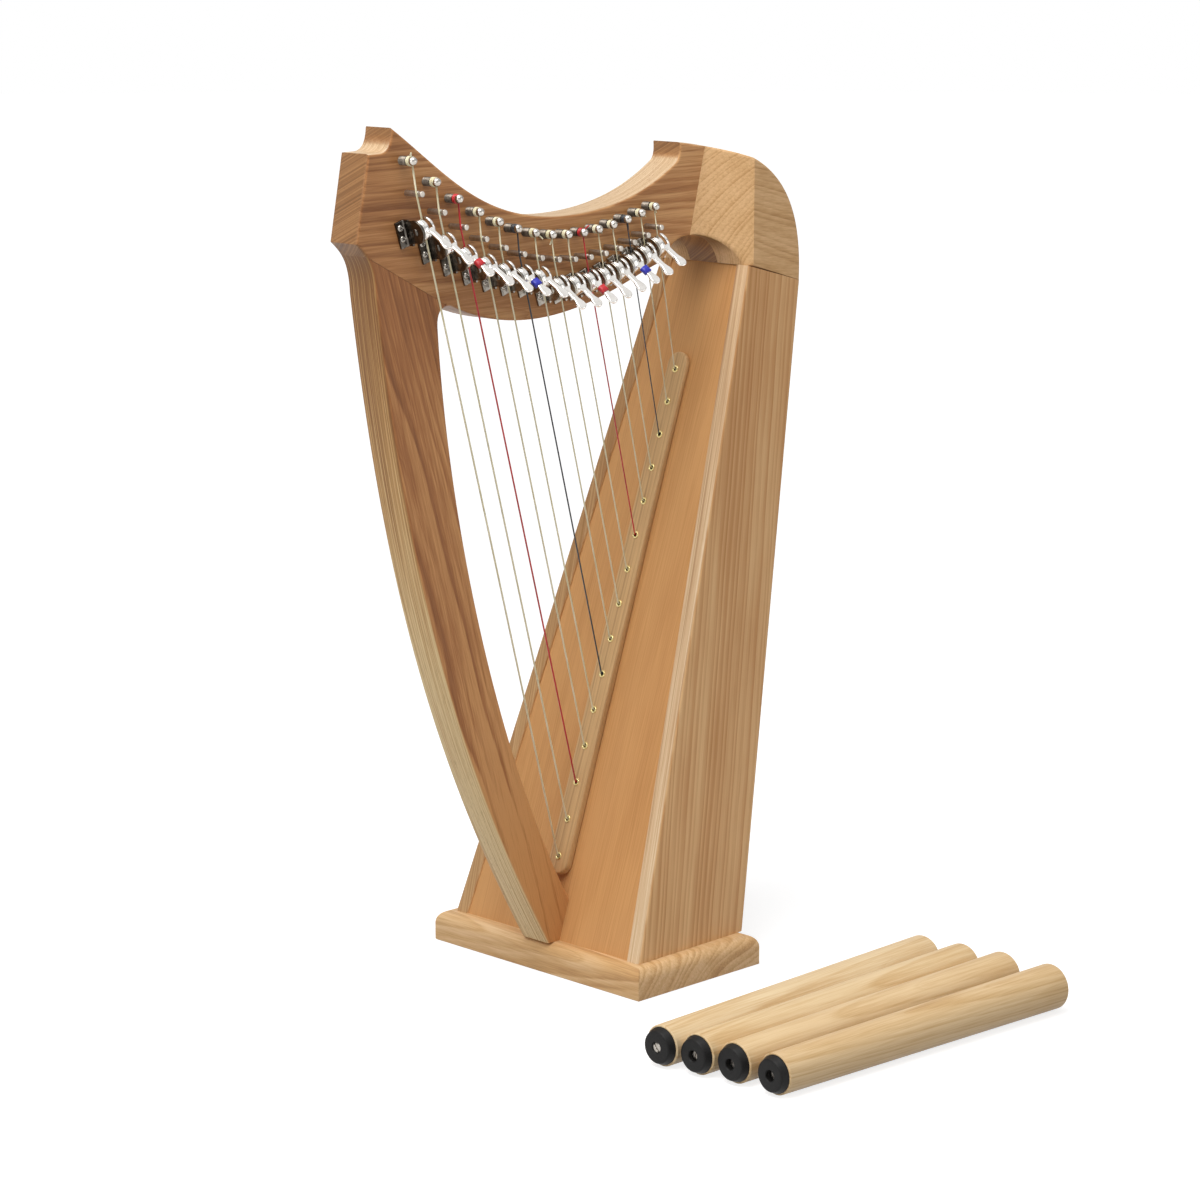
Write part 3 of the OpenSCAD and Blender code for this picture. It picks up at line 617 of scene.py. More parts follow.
def metal(name, dark, bright, rough, scale=400.0, uneven=0.08, bass_shading=0.0):
    """A metal whose colour and polish change a little over cells of about 1000/scale mm.

    Its colour grows darker per metre towards the bass side by the last argument, counted from
    110 mm on that side of the middle; this darkening is painted shade.
    """
    material, tree, shader, place = surface(name)
    grain = add(tree, "TexNoise", {"Vector": place, "Scale": scale, "Detail": 4.0, "Roughness": 0.6})
    # Painted shade: the colour grows darker along X towards the bass side.
    side = add(tree, "SeparateXYZ", (place,)).outputs["X"]
    painted_shade = add(tree, "Math", (side, bass_shading, 0.11 * bass_shading), operation="MULTIPLY_ADD")
    shade = add(tree, "Math", (grain, painted_shade), operation="ADD")
    feed(shader, {
        "Metallic": 1.0,
        "Base Color": add(tree, "ValToRGB", (shade,), stops=[(0.3, dark), (0.7, bright)]),
        "Roughness": add(tree, "Math", (grain, 2 * uneven, rough - uneven),
                         operation="MULTIPLY_ADD")})
    return material


def pin_row(points, k):
    """Where pin k stands on its row, a cubic curve along the neck."""
    x, z = bezier(CORNER + points, LAST)[k]
    return np.array([x, 0, z])


BRIDGE_ROW = ((-296.4, 66.4), (-202.9, 0.4), (-133.6, 8.3), (-73.4, 30.7))
TUNING_ROW = ((-300.6, 87.6), (-201.4, 13.4), (-139.7, 27.7), (-75.1, 45))
BRIDGE_R, BRIDGE_OUT, GROOVE_OUT = 2.0, 16.0, 12.5
OUT_OF_NECK = ((1, 0, 0), (0, 0, 1), (0, -1, 0))
# Drawn steel rod, dulled by air and handling: greyish, with a broad soft shine.
steel = metal("steel rod, drawn, dulled", "#A59E95", "#CAC3B9", 0.42)
groove = arc((BRIDGE_R + 0.25, GROOVE_OUT), 0.75, 235, 125, 7)
bridge_profile = np.vstack([[[0.4, -8], [BRIDGE_R, -8], [BRIDGE_R, GROOVE_OUT - 0.8]], groove,
                            [[BRIDGE_R, GROOVE_OUT + 0.8]],
                            arc((BRIDGE_R - 0.5, BRIDGE_OUT - 0.5), 0.5, 0, 90, 5),
                            [[0.4, BRIDGE_OUT]]])
piece("bridge_pin_set", [set_at(turned(bridge_profile, 24), pin_row(BRIDGE_ROW, k) + [0, FACE, 0],
                                *OUT_OF_NECK) for k in range(STRINGS)],
      steel, "harp", "bridge_pins", slot="pin_steel")


# ---- tuning pins ----
# Nickelled steel pins pass right through the neck. The string end has a dull threaded
# shank, a waist that the string winds on and a polished ball; the other end is square
# for the key.

PIN_R, PIN_SQUARE, PIN_HEAD = 3.1, 4.2, 12.0
PIN_BACK = -THICK - 4.0
WAIST_R, BALL_R, BALL_AT = 2.1, 3.0, 11.1
WAIST_FROM, WAIST_TO = 6.2, 9.0


def pin_steel():
    """Nickelled steel, matt and brown on the shank and polished beyond the winding."""
    material, tree, shader, place = surface("nickel-plated steel, pin")
    grain = add(tree, "TexNoise", {"Vector": place, "Scale": 300.0, "Detail": 4.0, "Roughness": 0.6})
    out = add(tree, "SeparateXYZ", (place,)).outputs["Y"]
    ball = add(tree, "Math", (out, -2000.0, 2 * (FACE - WAIST_TO)), operation="MULTIPLY_ADD")
    ball = add(tree, "ValToRGB", (ball,), stops=[(0.0, 0.0), (1.0, 1.0)])
    shank, polished = (add(tree, "ValToRGB", (grain,), stops=[(0.3, dark), (0.7, bright)])
                       for dark, bright in (("#5A534B", "#857C71"), ("#B4AEA6", "#CFCAC3")))
    feed(shader, {
        "Metallic": 1.0,
        "Base Color": add(tree, "Mix", {0: ball, 6: shank, 7: polished},
                          data_type="RGBA").outputs[2],
        "Roughness": add(tree, "Math", (ball, -0.3, 0.42), operation="MULTIPLY_ADD")})
    return material


nickel = pin_steel()
thread = [(PIN_R - 0.15 * (i % 2), -0.5 + 0.3 * i) for i in range(24)]
ball_from = math.degrees(math.acos(WAIST_R / BALL_R))
pin_profile = np.vstack([[[0.4, PIN_BACK], [PIN_R - 0.4, PIN_BACK], [PIN_R, PIN_BACK + 0.4]],
                         thread, [[WAIST_R, WAIST_FROM], [WAIST_R, WAIST_TO]],
                         arc((0, BALL_AT), BALL_R, -ball_from, 86, 16), [[0.15, BALL_AT + BALL_R]]])
SQUARE_ROUND = 0.4
inset = PIN_SQUARE / 2 - SQUARE_ROUND
square = np.vstack([arc((i * inset, j * inset), SQUARE_ROUND, a, a + 90, 4)
                    for i, j, a in ((1, 1, 0), (-1, 1, 90), (-1, -1, 180), (1, -1, 270))])
for k in range(STRINGS):
    at = pin_row(TUNING_ROW, k)
    key_end = set_at(slab(square, PIN_BACK - PIN_HEAD, PIN_BACK + 0.5, 0.6, 0.1, level),
                     at + [0, FACE, 0], *OUT_OF_NECK)
    piece(f"pin_{k + 1:02d}", [set_at(turned(pin_profile, 32), at + [0, FACE, 0], *OUT_OF_NECK),
                               key_end],
          nickel, f"tuning_pin_{k + 1:02d}_body", f"tuning_pin_{k + 1:02d}", slot="pin_steel")


# ---- strings ----
# Monofilament nylon, 1.3 mm at the bass down to 0.8 mm, with red C and black F strings.
# Each winds two to four times round its tuning pin, bends in its bridge pin's groove and
# runs through its lever to the eyelet, behind which it is knotted.


def nylon(name, colour, deep, clear):
    """Extruded nylon line: smooth, a little translucent, the colour deeper in places."""
    material, tree, shader, place = surface(name)
    grain = add(tree, "TexNoise", {"Vector": place, "Scale": 60.0, "Detail": 2.0})
    feed(shader, {
        "Base Color": add(tree, "ValToRGB", (grain,), stops=[(0.35, deep), (0.65, colour)]),
        "Roughness": 0.3, "IOR": 1.53, "Subsurface Weight": clear,
        "Subsurface Radius": (0.001, 0.001, 0.001)})
    return material


def string_r(k):
    """Radius of string k."""
    return 0.65 - 0.25 * k / LAST


def tube(path, r, around=10):
    """A round line along a path, as circles square to it. r may change on the way."""
    path = np.asarray(path, float)
    way = unit(np.gradient(path, axis=0))
    u = unit(np.cross(way, (0, 1, 0)))
    v = np.cross(way, u)
    a = np.linspace(0, 2 * math.pi, around, endpoint=False)[None, :, None]
    r = np.broadcast_to(r, len(path))[:, None, None]
    return path[:, None] + r * (np.cos(a) * u[:, None] + np.sin(a) * v[:, None])


def bent(a, corner, b, reach=1.6, n=7):
    """A path from a to b that turns the corner on the short curve
    (1-t)^2 p + 2t(1-t) corner + t^2 q, where p and q lie the reach before and after it."""
    p, q = corner + unit(a - corner) * reach, corner + unit(b - corner) * reach
    t = np.linspace(0, 1, n)[:, None]
    return np.vstack([a, (1 - t) ** 2 * p + 2 * t * (1 - t) * corner + t * t * q, b])


GROOVE_R = BRIDGE_R - 0.4
COIL_Y = FACE - 7.2
BOARD_BACK = 4.5


def hole_top(k):
    """Where string k enters its eyelet."""
    return in_box(rib_front(hole_up(k)) - 0.8, hole_up(k))


def bridge_turn(k):
    """Where string k lies in its bridge pin's groove, on the side away from the box."""
    return (pin_row(BRIDGE_ROW, k) + [0, FACE - GROOVE_OUT, 0]
            - np.array([1.09 * (GROOVE_R + string_r(k)), 0, 0]))


def string_way(k):
    """The direction of string k from its bridge pin to its eyelet."""
    return unit(hole_top(k) - bridge_turn(k))


def whole_string(k):
    """String k from the side of its winding to the knot behind the soundboard."""
    r = string_r(k)
    start = pin_row(TUNING_ROW, k) + [WAIST_R + r, COIL_Y, 0]
    back = unit(in_box(1, 0) - in_box(0, 0))
    upper = bent(start, bridge_turn(k), hole_top(k) - 2 * string_way(k))
    lower = bent(hole_top(k) - 1.6 * string_way(k), hole_top(k), hole_top(k) + 3 * back,
                 reach=1.4, n=5)[1:]
    behind = np.array([0, 0.5, 1.4, 2.4, 3.2, 3.8])[:, None]
    path = np.vstack([upper, lower, in_box(BOARD_BACK + 0.05, hole_up(k)) + behind * back])
    width = np.r_[np.full(len(path) - len(behind), r), [r, 1.8, 2.2, 2.1, 1.5, r]]
    return tube(path, width)


WOUND = (810, 900, 860, 790, 800, 860, 1035, 990, 990, 900, 1020, 1170, 1350, 1380, 1350)
TAGS = {0: (80, 3), 6: (-45, 4.7), 7: (-115, 4.7), 8: (-90, 6), 9: (45, 9), 10: (-40, 2),
        11: (85, 1.5), 12: (-90, 5), 13: (-30, 2.2), 14: (-80, 2)}


def winding(k):
    """The turns on tuning pin k: a helix of radius waist + string through the degrees in
    WOUND, a point every 13 of them. It steps 2.05 string radii out each turn."""
    r = string_r(k)
    a = np.radians(np.linspace(0, WOUND[k], WOUND[k] // 13))
    at = pin_row(TUNING_ROW, k)
    radius = WAIST_R + r
    return np.stack([at[0] + radius * np.cos(a), COIL_Y - 2.05 * r * a / (2 * math.pi),
                     at[2] + radius * np.sin(a)], 1)


def tag(k):
    """The cut end of string k: it runs on from the winding, then turns out from the neck,
    rising by the first angle in TAGS, for the second number of millimetres."""
    a, rise, length = math.radians(WOUND[k]), math.radians(TAGS[k][0]), TAGS[k][1]
    start = winding(k)[-1]
    turn = start + 1.2 * np.array([-math.sin(a), 0, math.cos(a)])
    out = math.sqrt(0.5) * math.cos(rise)
    end = turn + length * np.array([out, -out, math.sin(rise)])
    t = np.linspace(0, 1, 9)[:, None]
    return (1 - t) ** 2 * start + 2 * t * (1 - t) * turn + t * t * end


C_STRINGS, F_STRINGS = (2, 9), (5, 12)
LINES = {
    "natural": (nylon("nylon line, natural", "#E6DEBF", "#D8CFA9", 0.2),
                [k for k in range(STRINGS) if k not in C_STRINGS + F_STRINGS]),
    "red": (nylon("nylon line, dyed red", "#C92A2D", "#A8191F", 0.1), C_STRINGS),
    "black": (nylon("nylon line, dyed black", "#303136", "#212226", 0.0), F_STRINGS),
}
for colour, (finish, which) in LINES.items():
    piece("strings_run_" + colour, [whole_string(k) for k in which], finish, "harp",
          "strings_" + colour, slot="nylon_" + colour, crease=60)
    for k in which:
        wound = [tube(winding(k), string_r(k))]
        if k in TAGS:
            wound.append(tube(tag(k), string_r(k)))
        piece(f"winding_{k + 1:02d}", wound, finish, f"tuning_pin_{k + 1:02d}_body",
              slot="nylon_" + colour, crease=60)


# ---- sharping lever brackets ----
# Each lever turns on a bracket folded from 1.6 mm plated steel: a foot plate held to the
# neck by two pan-head screws, and a round cheek that stands out and carries the rivet.

LEVER_JOINTS = {j["name"][6:8]: j for j in frame["joints"] if j["name"].startswith("lever")}


def lever_axes(k):
    """Lever k's hub and its own axes: along the rivet, towards the neck, up the string."""
    joint = LEVER_JOINTS[f"{k + 1:02d}"]
    hub = np.array(joint["pos_m"]) * 1000
    x_way = -np.array(joint["axis"], float)
    return hub, x_way, np.array([0, 1.0, 0]), unit(np.cross(x_way, (0, 1, 0)))


SHEET, PLATE_W, PLATE_LOW, PLATE_TOP = 1.6, 7.9, -10.0, 8.2
CHEEK_X, CHEEK_R, RIVET_R = -7.8, 8.2, 1.8
FOLD_IN, FOLD_OUT, FOLD_REACH = 1.2, 2.0, 6.0
ALONG_RIVET = ((0, 1, 0), (0, 0, 1), (1, 0, 0))
SHELL_R, SHELL_T, SHELL_END = 7.8, 1.4, 3.2
PLAY = 0.3
DISC_X = CHEEK_X + SHEET + PLAY
SCREW_X, SCREW_Z = CHEEK_X + SHEET - PLATE_W + 2.9, (3.7, -3.8)
# Nickel plate on sheet: a sharp shine, blotched, and darker towards the bass, which is painted shade.
dark_nickel = metal("nickel-plated steel sheet, bracket", "#58534D", "#ABA49A", 0.22, scale=220,
                    bass_shading=3.0)


def sideways(y, z, x):
    """Lays an outline drawn in Y and Z, with its depth along X."""
    return np.stack(np.broadcast_arrays(x, y, z), -1)


def bracket(k):
    """The foot plate with its fold, the cheek, and the rivet's two heads."""
    hub, *ways = lever_axes(k)
    face = FACE - hub[1]
    left, right = CHEEK_X + SHEET - PLATE_W, CHEEK_X + SHEET
    section = np.vstack([[[left, face], [left, face - SHEET]],
                         arc((CHEEK_X - FOLD_IN, face - SHEET - FOLD_IN), FOLD_IN, 90, 0, 5),
                         [[CHEEK_X, face - FOLD_REACH], [right, face - FOLD_REACH]],
                         arc((right - FOLD_OUT, face - FOLD_OUT), FOLD_OUT, 0, 90, 5)])
    foot = slab(section, PLATE_LOW, PLATE_TOP, 0.4, 0.4, level)
    cheek_line = np.vstack([[[face - 1.4, PLATE_LOW + 0.6]], arc((0, 0), CHEEK_R, -75, -285, 30),
                            [[face - 1.4, PLATE_TOP - 0.6]]])
    cheek = slab(cheek_line, CHEEK_X, right, 0.6, 0.6, sideways)
    heads = []
    for x, way, wide in ((CHEEK_X, -1, 2.7), (DISC_X + SHELL_T + PLAY, 1, 2.6)):
        a = np.linspace(0, math.pi / 2, 6)[:-1]
        profile = np.vstack([[[0.3, -0.8], [wide, -0.8], [wide, 0.1]],
                             np.stack([wide * np.cos(a), 0.1 + 1.0 * np.sin(a)], 1), [[0.25, 1.1]]])
        heads.append(set_at(turned(profile, 20), (x, 0, 0), (0, 1, 0), (0, 0, 1), (way, 0, 0)))
    axle = set_at(turned([[0.3, 0], [RIVET_R, 0], [RIVET_R, 4.2], [0.3, 4.2]], 16),
                  (CHEEK_X + 0.4, 0, 0), *ALONG_RIVET)
    return [set_at(g, hub, *ways) for g in (foot, cheek, axle, *heads)]


piece("lever_bracket_set", [g for k in range(STRINGS) for g in bracket(k)], dark_nickel, "harp",
      "lever_brackets", slot="bracket_steel")


# ---- bracket screws ----
# Two pan-head screws of zinc-plated steel hold each foot plate to the neck. Their cross
# recesses are pressed in and stop short of the rim.


def screw_head(r=2.3, h=1.25, cut=0.55):
    """A pan head as a height over the disc: a dome that falls off as the fourth power of
    the radius, less a cross of two grooves that run out short of the rim."""
    a = np.linspace(0, 2 * math.pi, 40, endpoint=False)
    d = np.linspace(0.06, 1, 12)[:, None] * r
    x, y = d * np.cos(a), d * np.sin(a)
    near = np.minimum(np.abs(x), np.abs(y))
    groove = np.clip((0.42 - near) / 0.16, 0, 1) * np.clip((1.5 - d) / 0.3, 0, 1)
    top = h * (1 - 0.75 * (d / r) ** 4) - cut * groove
    crown = np.stack([x, y, top], -1)
    foot = np.stack([r * np.cos(a), r * np.sin(a), 0 * a - 0.4], -1)[None]
    return np.vstack([crown, foot])


# Zinc plate: a cool grey with a fairly sharp shine.
plated = metal("zinc-plated steel, screw", "#7D7871", "#BCB6AE", 0.2, scale=300)
screws = []
for k in range(STRINGS):
    hub, *ways = lever_axes(k)
    for z in SCREW_Z:
        head = set_at(screw_head(), (SCREW_X, FACE - hub[1] - SHEET, z), *OUT_OF_NECK)
        screws.append(set_at(head, hub, *ways))
piece("bracket_screws", screws, plated, "harp", "lever_screws", slot="chrome", crease=40)


# ---- sharping levers ----
# A chromed barrel shell with a slot for the string, closed on one side by a disc that
# turns on the rivet. A forged handle grows out of it and ends in a flat round paddle.
# Bass levers have a wide slot, treble levers a narrow one.

# Polished chromium plate: nearly white, and a clear mirror of the room round it.
chrome = metal("chromium-plated steel, polished", "#DCD8D2", "#EEEBE7", 0.1, scale=150, uneven=0.03)
HANDLE_SLOPE, HANDLE_X, HANDLE_OFF, HANDLE_T = math.radians(38), -1.2, 4.8, 2.1
ROOT, WAIST, PADDLE, REACH = 7.3, 4.1, 6.8, 25.2
SLEEVE_AT, SLEEVE_LEN, SLEEVE_T = 9.2, 5.7, 0.9
BASS_LEVERS, TREBLE_DROP = 7, math.radians(7)
WIDE_SLOT, NARROW_SLOT = 3.0, 2.4
SHELL_FROM, SLOT_FROM, SHELL_TO = -50, -5, 80


def tipped(grid, k):
    """Treble levers rest seven degrees lower than bass ones."""
    a = 0 if k < BASS_LEVERS else TREBLE_DROP
    c, s = math.cos(a), math.sin(a)
    return grid @ np.array([[1, 0, 0], [0, c, s], [0, -s, c]])


def on_handle(u, v, w):
    """A point u across, v along and w above the handle's middle, in the lever's axes."""
    u, v, w = np.broadcast_arrays(u, v, w)
    c, s = math.cos(HANDLE_SLOPE), math.sin(HANDLE_SLOPE)
    return np.stack([HANDLE_X + u, -v * c - (HANDLE_OFF + w) * s, -v * s + (HANDLE_OFF + w) * c], -1)


def hoop(x0, x1, start, end, n):
    """A strip of the shell from x0 to x1: a small rounded rectangle carried round the
    barrel from the start angle to the end one, in degrees."""
    e, inner, outer = 0.35, SHELL_R - SHELL_T, SHELL_R
    section = np.vstack([arc(centre, e, a, a + 90, 4) for centre, a in (
        ((x1 - e, outer - e), 0), ((x0 + e, outer - e), 90),
        ((x0 + e, inner + e), 180), ((x1 - e, inner + e), 270))])
    a = np.radians(np.linspace(start, end, n))[:, None]
    x, r = section.T
    return np.stack(np.broadcast_arrays(x, -r * np.cos(a), r * np.sin(a)), -1)


side_line = np.vstack([
    [[ROOT / 2, 4.9]],
    bezier([(ROOT / 2, 6), (ROOT / 2, 7.6), (WAIST / 2, 7.6), (WAIST / 2, SLEEVE_AT - 0.1)], 10),
    bezier([(WAIST / 2, SLEEVE_AT + 5.9), (WAIST / 2, 17.5), (PADDLE / 2, 18.5),
            (PADDLE / 2, REACH - PADDLE / 2)], 12)])
tip = arc((0, REACH - PADDLE / 2), PADDLE / 2, 0, 180, 17)[1:-1]
handle_line = np.vstack([side_line, tip, (side_line * [-1, 1])[::-1]])


def lever(k):
    """The disc, the shell and the handle. Two strips of the shell leave the slot between
    them, and a third closes it below."""
    slot_half = (WIDE_SLOT if k < BASS_LEVERS else NARROW_SLOT) / 2
    e = 0.4
    rim = np.vstack([[[0.3, 0], [SHELL_R - e, 0]], arc((SHELL_R - e, e), e, -90, 0, 4),
                     arc((SHELL_R - e, SHELL_T - e), e, 0, 90, 4), [[0.3, SHELL_T]]])
    disc = set_at(turned(rim, 48), (DISC_X, 0, 0), *ALONG_RIVET)
    hoops = [hoop(DISC_X + SHELL_T - 0.2, -slot_half, SHELL_FROM, SHELL_TO, 30),
             hoop(slot_half, SHELL_END, SHELL_FROM, SHELL_TO, 30),
             hoop(-slot_half - 0.5, slot_half + 0.5, SHELL_FROM, SLOT_FROM, 12)]
    handle = slab(handle_line, -HANDLE_T / 2, HANDLE_T / 2, 0.8, 0.8, on_handle)
    return [set_at(tipped(g, k), *lever_axes(k)) for g in (disc, *hoops, handle)]


for k in range(STRINGS):
    piece(f"sharping_lever_{k + 1:02d}", lever(k), chrome, f"lever_{k + 1:02d}_body",
          f"lever_{k + 1:02d}", slot="chrome", crease=40)


# ---- colour sleeves ----
# Short tubes of soft vinyl pushed over the handles of four levers, red for the C strings
# and blue for the F strings.


def vinyl(name, colour, deep):
    """Soft extruded vinyl with a slight sheen and faint stretch marks."""
    material, tree, shader, place = surface(name)
    grain = add(tree, "TexNoise", {"Vector": place, "Scale": 700.0, "Detail": 3.0})
    feed(shader, {
        "Base Color": add(tree, "ValToRGB", (grain,), stops=[(0.3, deep), (0.7, colour)]),
        "Normal": add(tree, "Bump", {"Height": grain, "Strength": 0.1, "Distance": 0.0002}),
        "Roughness": 0.38})
    return material


def sleeve(k):
    """A wall carried along the handle: it starts at the outer lip, runs to the other end,
    turns in there and comes back inside."""
    half_w, half_t = WAIST / 2 + 0.03, HANDLE_T / 2 + 0.03
    corners = ((1, 1, 0), (-1, 1, 90), (-1, -1, 180), (1, -1, 270))

    def section(grow, r):
        return np.vstack([arc((i * (half_w + grow - r), j * (half_t + grow - r)), r, a, a + 90, 6)
                          for i, j, a in corners])

    inner, outer = section(0.0, 0.8), section(SLEEVE_T, 1.5)
    v0, v1 = SLEEVE_AT, SLEEVE_AT + SLEEVE_LEN
    middle = 0.5 * (inner + outer)
    rows = [(inner, v0 + 0.1), (middle, v0), (outer, v0 + 0.3), (outer * 0.97, (v0 + v1) / 2),
            (outer, v1 - 0.3), (middle, v1), (inner, v1 - 0.1), (inner, v0 + 0.1)]
    grid = np.stack([on_handle(s[:, 0], v, s[:, 1]) for s, v in rows])
    return set_at(tipped(grid, k), *lever_axes(k))


SLEEVES = {"red": (vinyl("vinyl tube, red", "#C4242A", "#A01A20"), C_STRINGS),
           "blue": (vinyl("vinyl tube, blue", "#2A2FB0", "#1E2290"), F_STRINGS)}
for colour, (finish, which) in SLEEVES.items():
    for k in which:
        piece(f"colour_sleeve_{k + 1:02d}", [sleeve(k)], finish, f"lever_{k + 1:02d}_body",
              f"sleeve_{k + 1:02d}", slot="sleeve_" + colour, crease=60)


# ---- legs ----
# Four turned ash legs lie side by side, the last a little apart. The thick end of each
# has a plain hole for what fastens it, and the thin end a black rubber foot, held by a
# screw in a recess.

LEG_LEN, LEG_FOOT_R, LEG_TOP_R, FOOT_R, FOOT_T = 265.5, 13.9, 15.8, 12.7, 5.4
LEG_X = (-151.4, -146.8, -142.1, -140.2)
LEGS_OFF, LEG_GAP = 104.0, 0.3
END_ROUND, HOLE_R, HOLE_DEEP = 2.2, 3.4, 22.0
APART, APART_TURN = 4.7, math.radians(0.8)
CONE = math.atan((LEG_TOP_R - LEG_FOOT_R) / LEG_LEN)
LEG_TURN = math.asin((2 * (LEG_TOP_R - LEG_FOOT_R) + 0.1) / LEG_LEN)
LEG_TINTS = [("#E2CBA4", "#D3B487", "#B48C5C"), ("#DFC59B", "#CFAE7E", "#B08654"),
             ("#DEC297", "#CDAB7B", "#AE8452"), ("#DBBE93", "#C9A675", "#A87E4D")]
leg_end = FOOT_T + LEG_LEN
leg_profile = np.vstack([
    [[0.5, FOOT_T], [LEG_FOOT_R - 0.6, FOOT_T], [LEG_FOOT_R, FOOT_T + 0.6]],
    np.stack([np.linspace(LEG_FOOT_R, LEG_TOP_R, 14)[1:-1],
              FOOT_T + np.linspace(0, LEG_LEN - END_ROUND, 14)[1:-1]], 1),
    arc((LEG_TOP_R - END_ROUND, leg_end - END_ROUND), END_ROUND, 0, 90, 8),
    [[HOLE_R + 1, leg_end], [HOLE_R, leg_end - 1], [HOLE_R, leg_end - HOLE_DEEP],
     [0.5, leg_end - HOLE_DEEP]]])
rubber_profile = np.vstack([
    [[0.4, 5.0], [3.5, 5.0], [3.7, 4.8], [3.7, 0.5], [4.2, 0]],
    arc((FOOT_R - 2.9, 1.4), 1.4, -90, -8, 7), [[FOOT_R - 0.1, FOOT_T - 0.9], [FOOT_R, FOOT_T - 0.5],
                                                [FOOT_R, FOOT_T], [0.4, FOOT_T]]])

# Moulded rubber: nearly black and dull, with a fine grit that breaks up its shine.
rubber, tree, shader, place = surface("rubber, black, moulded")
grit = add(tree, "TexNoise", {"Vector": place, "Scale": 1200.0, "Detail": 4.0})
feed(shader, {
    "Base Color": add(tree, "ValToRGB", (grit,), stops=[(0.3, "#0E0D0D"), (0.7, "#1A1918")]),
    "Normal": add(tree, "Bump", {"Height": grit, "Strength": 0.2, "Distance": 0.0002}),
    "Roughness": 0.5, "Specular IOR Level": 0.2})


def slotted_head(r=3.3, h=1.4):
    """A cheese head: a flat disc with rounded rim, less one straight slot 1 mm wide."""
    a = np.linspace(0, 2 * math.pi, 48, endpoint=False)
    d = np.linspace(0.05, 1, 14)[:, None] * r
    x, y = d * np.cos(a), d * np.sin(a)
    slot = np.clip((0.55 - np.abs(y)) / 0.12, 0, 1)
    top = h * (1 - 0.3 * (d / r) ** 6 - 0.55 * slot)
    foot = np.stack([r * np.cos(a), r * np.sin(a), 0 * a - 0.3], -1)[None]
    return np.vstack([np.stack([x, y, top], -1), foot])


SCREW_TURNS, SCREW_DEPTHS = np.radians((-51, 80, 10, 60)), (1.6, 4.4, 4.95, 4.95)
SCREW_TALL = (1.4, 1.4, 0.8, 0.8)
for i in range(4):
    apart = i == 3
    front = -PLINTH[1] / 2 - LEGS_OFF - (2 * LEG_FOOT_R + LEG_GAP) * i - APART * apart
    start = np.array([LEG_X[i], front, LEG_FOOT_R * math.cos(CONE) - FOOT_T * math.sin(CONE)])
    yaw = -LEG_TURN * i - APART_TURN * apart
    c, s = math.cos(yaw), math.sin(yaw)
    down = np.array([c * math.sin(CONE), s * math.sin(CONE), -math.cos(CONE)])
    across = np.array([-s, c, 0])
    along = np.array([c * math.cos(CONE), s * math.cos(CONE), math.sin(CONE)])
    ash_leg = board_wood(f"ash, turned and sanded, leg {i + 1}", along,
                         start + [0, 34 - 9 * i, -20 - 8 * i], *LEG_TINTS[i],
                         ring=3.4, sway=4, rings=0.36, pores=0.25, cone=0.02)
    body = f"leg_{i + 1}_body"
    piece(f"turned_leg_{i + 1}", [set_at(turned(leg_profile, 64), start, down, across, along)],
          ash_leg, body, f"leg_{i + 1}", slot="ash")
    piece(f"rubber_foot_{i + 1}", [set_at(turned(rubber_profile, 48), start, down, across, along)],
          rubber, body, f"foot_{i + 1}", slot="black_rubber")
    slot_way = math.cos(SCREW_TURNS[i]) * across + math.sin(SCREW_TURNS[i]) * down
    screw = set_at(slotted_head(h=SCREW_TALL[i]), start + SCREW_DEPTHS[i] * along, slot_way,
                   np.cross(slot_way, along), -along)
    piece(f"foot_screw_{i + 1}", [screw], plated if i == 0 else steel, body, slot="chrome", crease=40)


# ---- camera, floor and lamps ----
# A long lens a little above the harp's middle, on the bass side. The floor and the walls
# are white to the eye, and mirrors pick up a darker band higher up the walls. One broad
# soft lamp hangs above, towards the front, with a weaker one at each side.

TARGET, DISTANCE = np.array([4.7, 0.0, 258.5]), 2422.6
AZIMUTH, ELEVATION = math.radians(-44.95), math.radians(11.4)
SENSOR, LENS = 36.0, 102.513
back = np.array([math.sin(AZIMUTH) * math.cos(ELEVATION), -math.cos(AZIMUTH) * math.cos(ELEVATION),
                 math.sin(ELEVATION)])
right = unit(np.cross((0, 0, 1), back))
camera = placed("camera", bpy.data.cameras.new("camera"))
camera.location = (TARGET + DISTANCE * back) * 0.001
camera.rotation_mode = "QUATERNION"
camera.rotation_quaternion = Matrix(
    np.array([right, np.cross(back, right), back]).T.tolist()).to_quaternion()
camera.data.sensor_width = SENSOR
camera.data.lens = LENS
camera.data.clip_start, camera.data.clip_end = 0.05, 60.0
bpy.context.scene.camera = camera
bpy.context.scene.view_settings.view_transform = "Standard"

FLOOR_R, FLOOR_DROP = 12.0, 0.0002
a = np.linspace(0, 2 * math.pi, 96, endpoint=False)
rim = np.stack([FLOOR_R * np.cos(a), FLOOR_R * np.sin(a), 0 * a - FLOOR_DROP], 1)
floor_mesh = bpy.data.meshes.new("floor")
floor_mesh.from_pydata(rim.tolist(), [], [list(range(len(rim)))])
floor = placed("floor", floor_mesh)


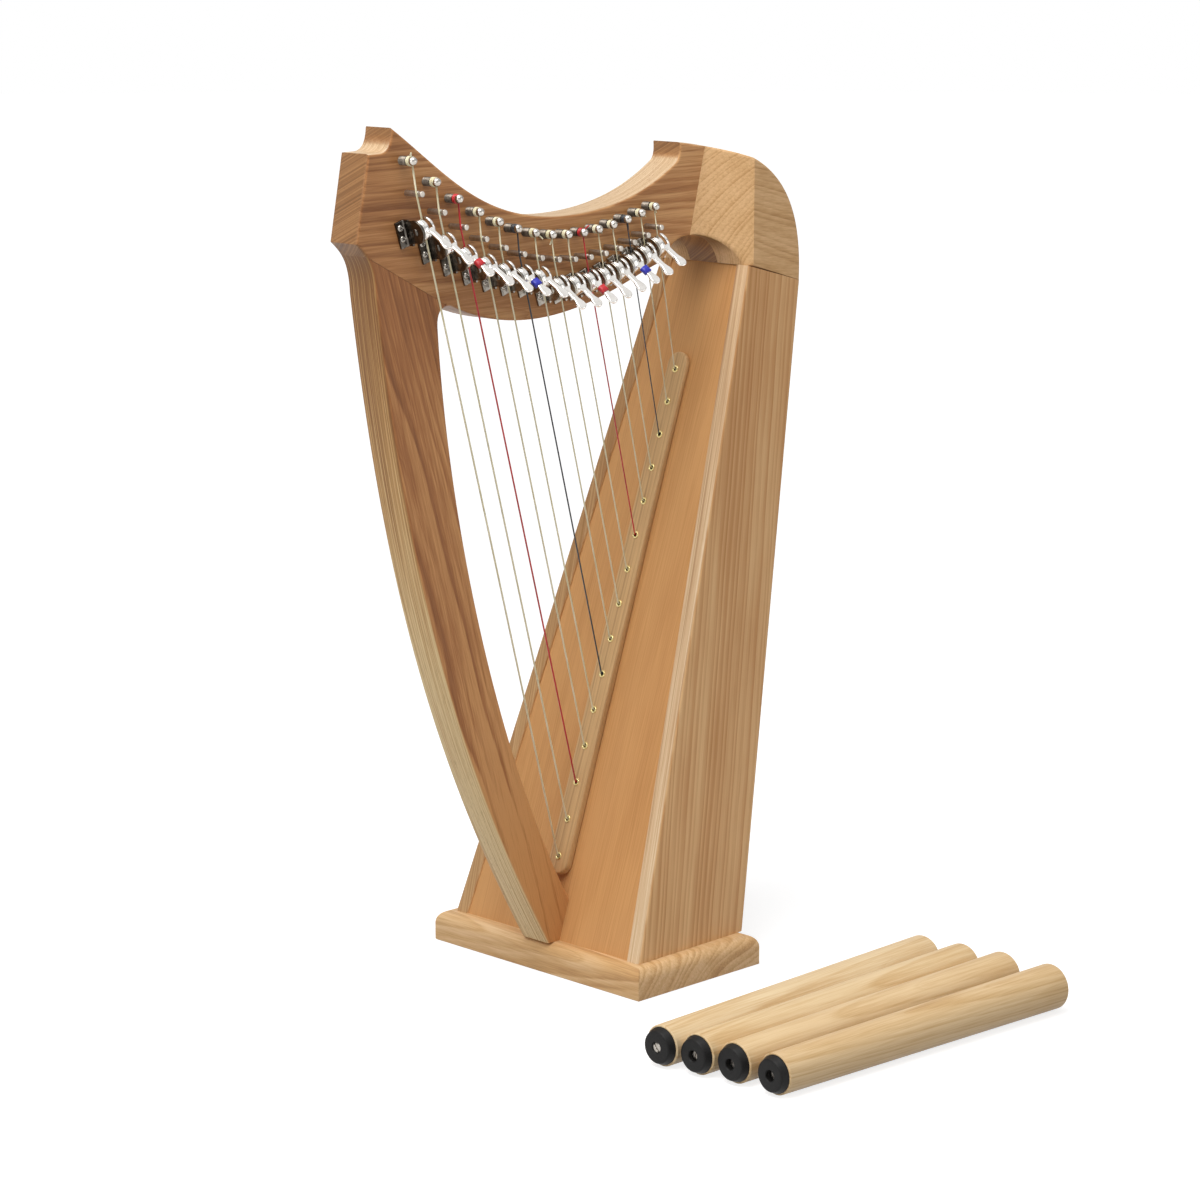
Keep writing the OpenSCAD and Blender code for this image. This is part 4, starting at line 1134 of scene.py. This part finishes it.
def seen(tree):
    """One for rays from the camera, off a mirror or through glass, and zero for others."""
    path = add(tree, "LightPath").outputs
    indirect = add(tree, "Math", (path["Is Glossy Ray"], path["Is Transmission Ray"]),
                   operation="MAXIMUM")
    return add(tree, "Math", (path["Is Camera Ray"], indirect), operation="MAXIMUM")


# White paper that glows a little less close to the harp, so that the shadows under it show.
paper, tree, shader, place = surface("paper floor, white")
tree.nodes.remove(shader)
away = add(tree, "VectorMath", (place, (0.2, 0.2, 0.2)), operation="MULTIPLY")
away = add(tree, "VectorMath", (away,), operation="LENGTH").outputs["Value"]
away = add(tree, "ValToRGB", (away,), stops=[(0.24, 0.78), (0.6, 0.94)])
glow = add(tree, "Math", (seen(tree), away), operation="MULTIPLY")
glow = add(tree, "Emission", {"Color": (1, 1, 1, 1), "Strength": glow})
matt = add(tree, "BsdfDiffuse", {"Color": (0.42, 0.42, 0.42, 1)})
feed(tree.nodes["Material Output"], {"Surface": add(tree, "AddShader", (glow, matt))})
floor_mesh.materials.append(paper)

SKY = 0.3
world = bpy.data.worlds.new("studio")
bpy.context.scene.world = world
world.use_nodes = True
tree = world.node_tree
height = add(tree, "SeparateXYZ", (add(tree, "TexCoord").outputs["Generated"],)).outputs["Z"]
walls = add(tree, "ValToRGB", (height,), stops=[(0.0, 1.0), (0.1, 1.0), (0.25, 0.35), (0.45, 0.5),
                                                (0.62, 1.0)])
walls = add(tree, "Math", (walls, SKY), operation="SUBTRACT")
feed(tree.nodes["Background"], {
    "Color": (1, 1, 1, 1),
    "Strength": add(tree, "Math", (seen(tree), walls, SKY), operation="MULTIPLY_ADD")})


def softbox(name, place, power, size):
    """A square area lamp aimed at the harp's middle, 0.3 m up."""
    lamp = bpy.data.lights.new(name, "AREA")
    lamp.energy, lamp.size = power, size
    obj = placed(name, lamp)
    obj.location = place
    obj.rotation_mode = "QUATERNION"
    obj.rotation_quaternion = (Vector(place) - Vector((0, 0, 0.3))).to_track_quat("Z", "Y")


softbox("lamp_above", (-0.9, -0.25, 2.3), 58, 1.8)
softbox("lamp_left", (-2.4, -0.3, 1.0), 10, 1.4)
softbox("lamp_right", (0.9, -2.3, 0.8), 7, 1.4)
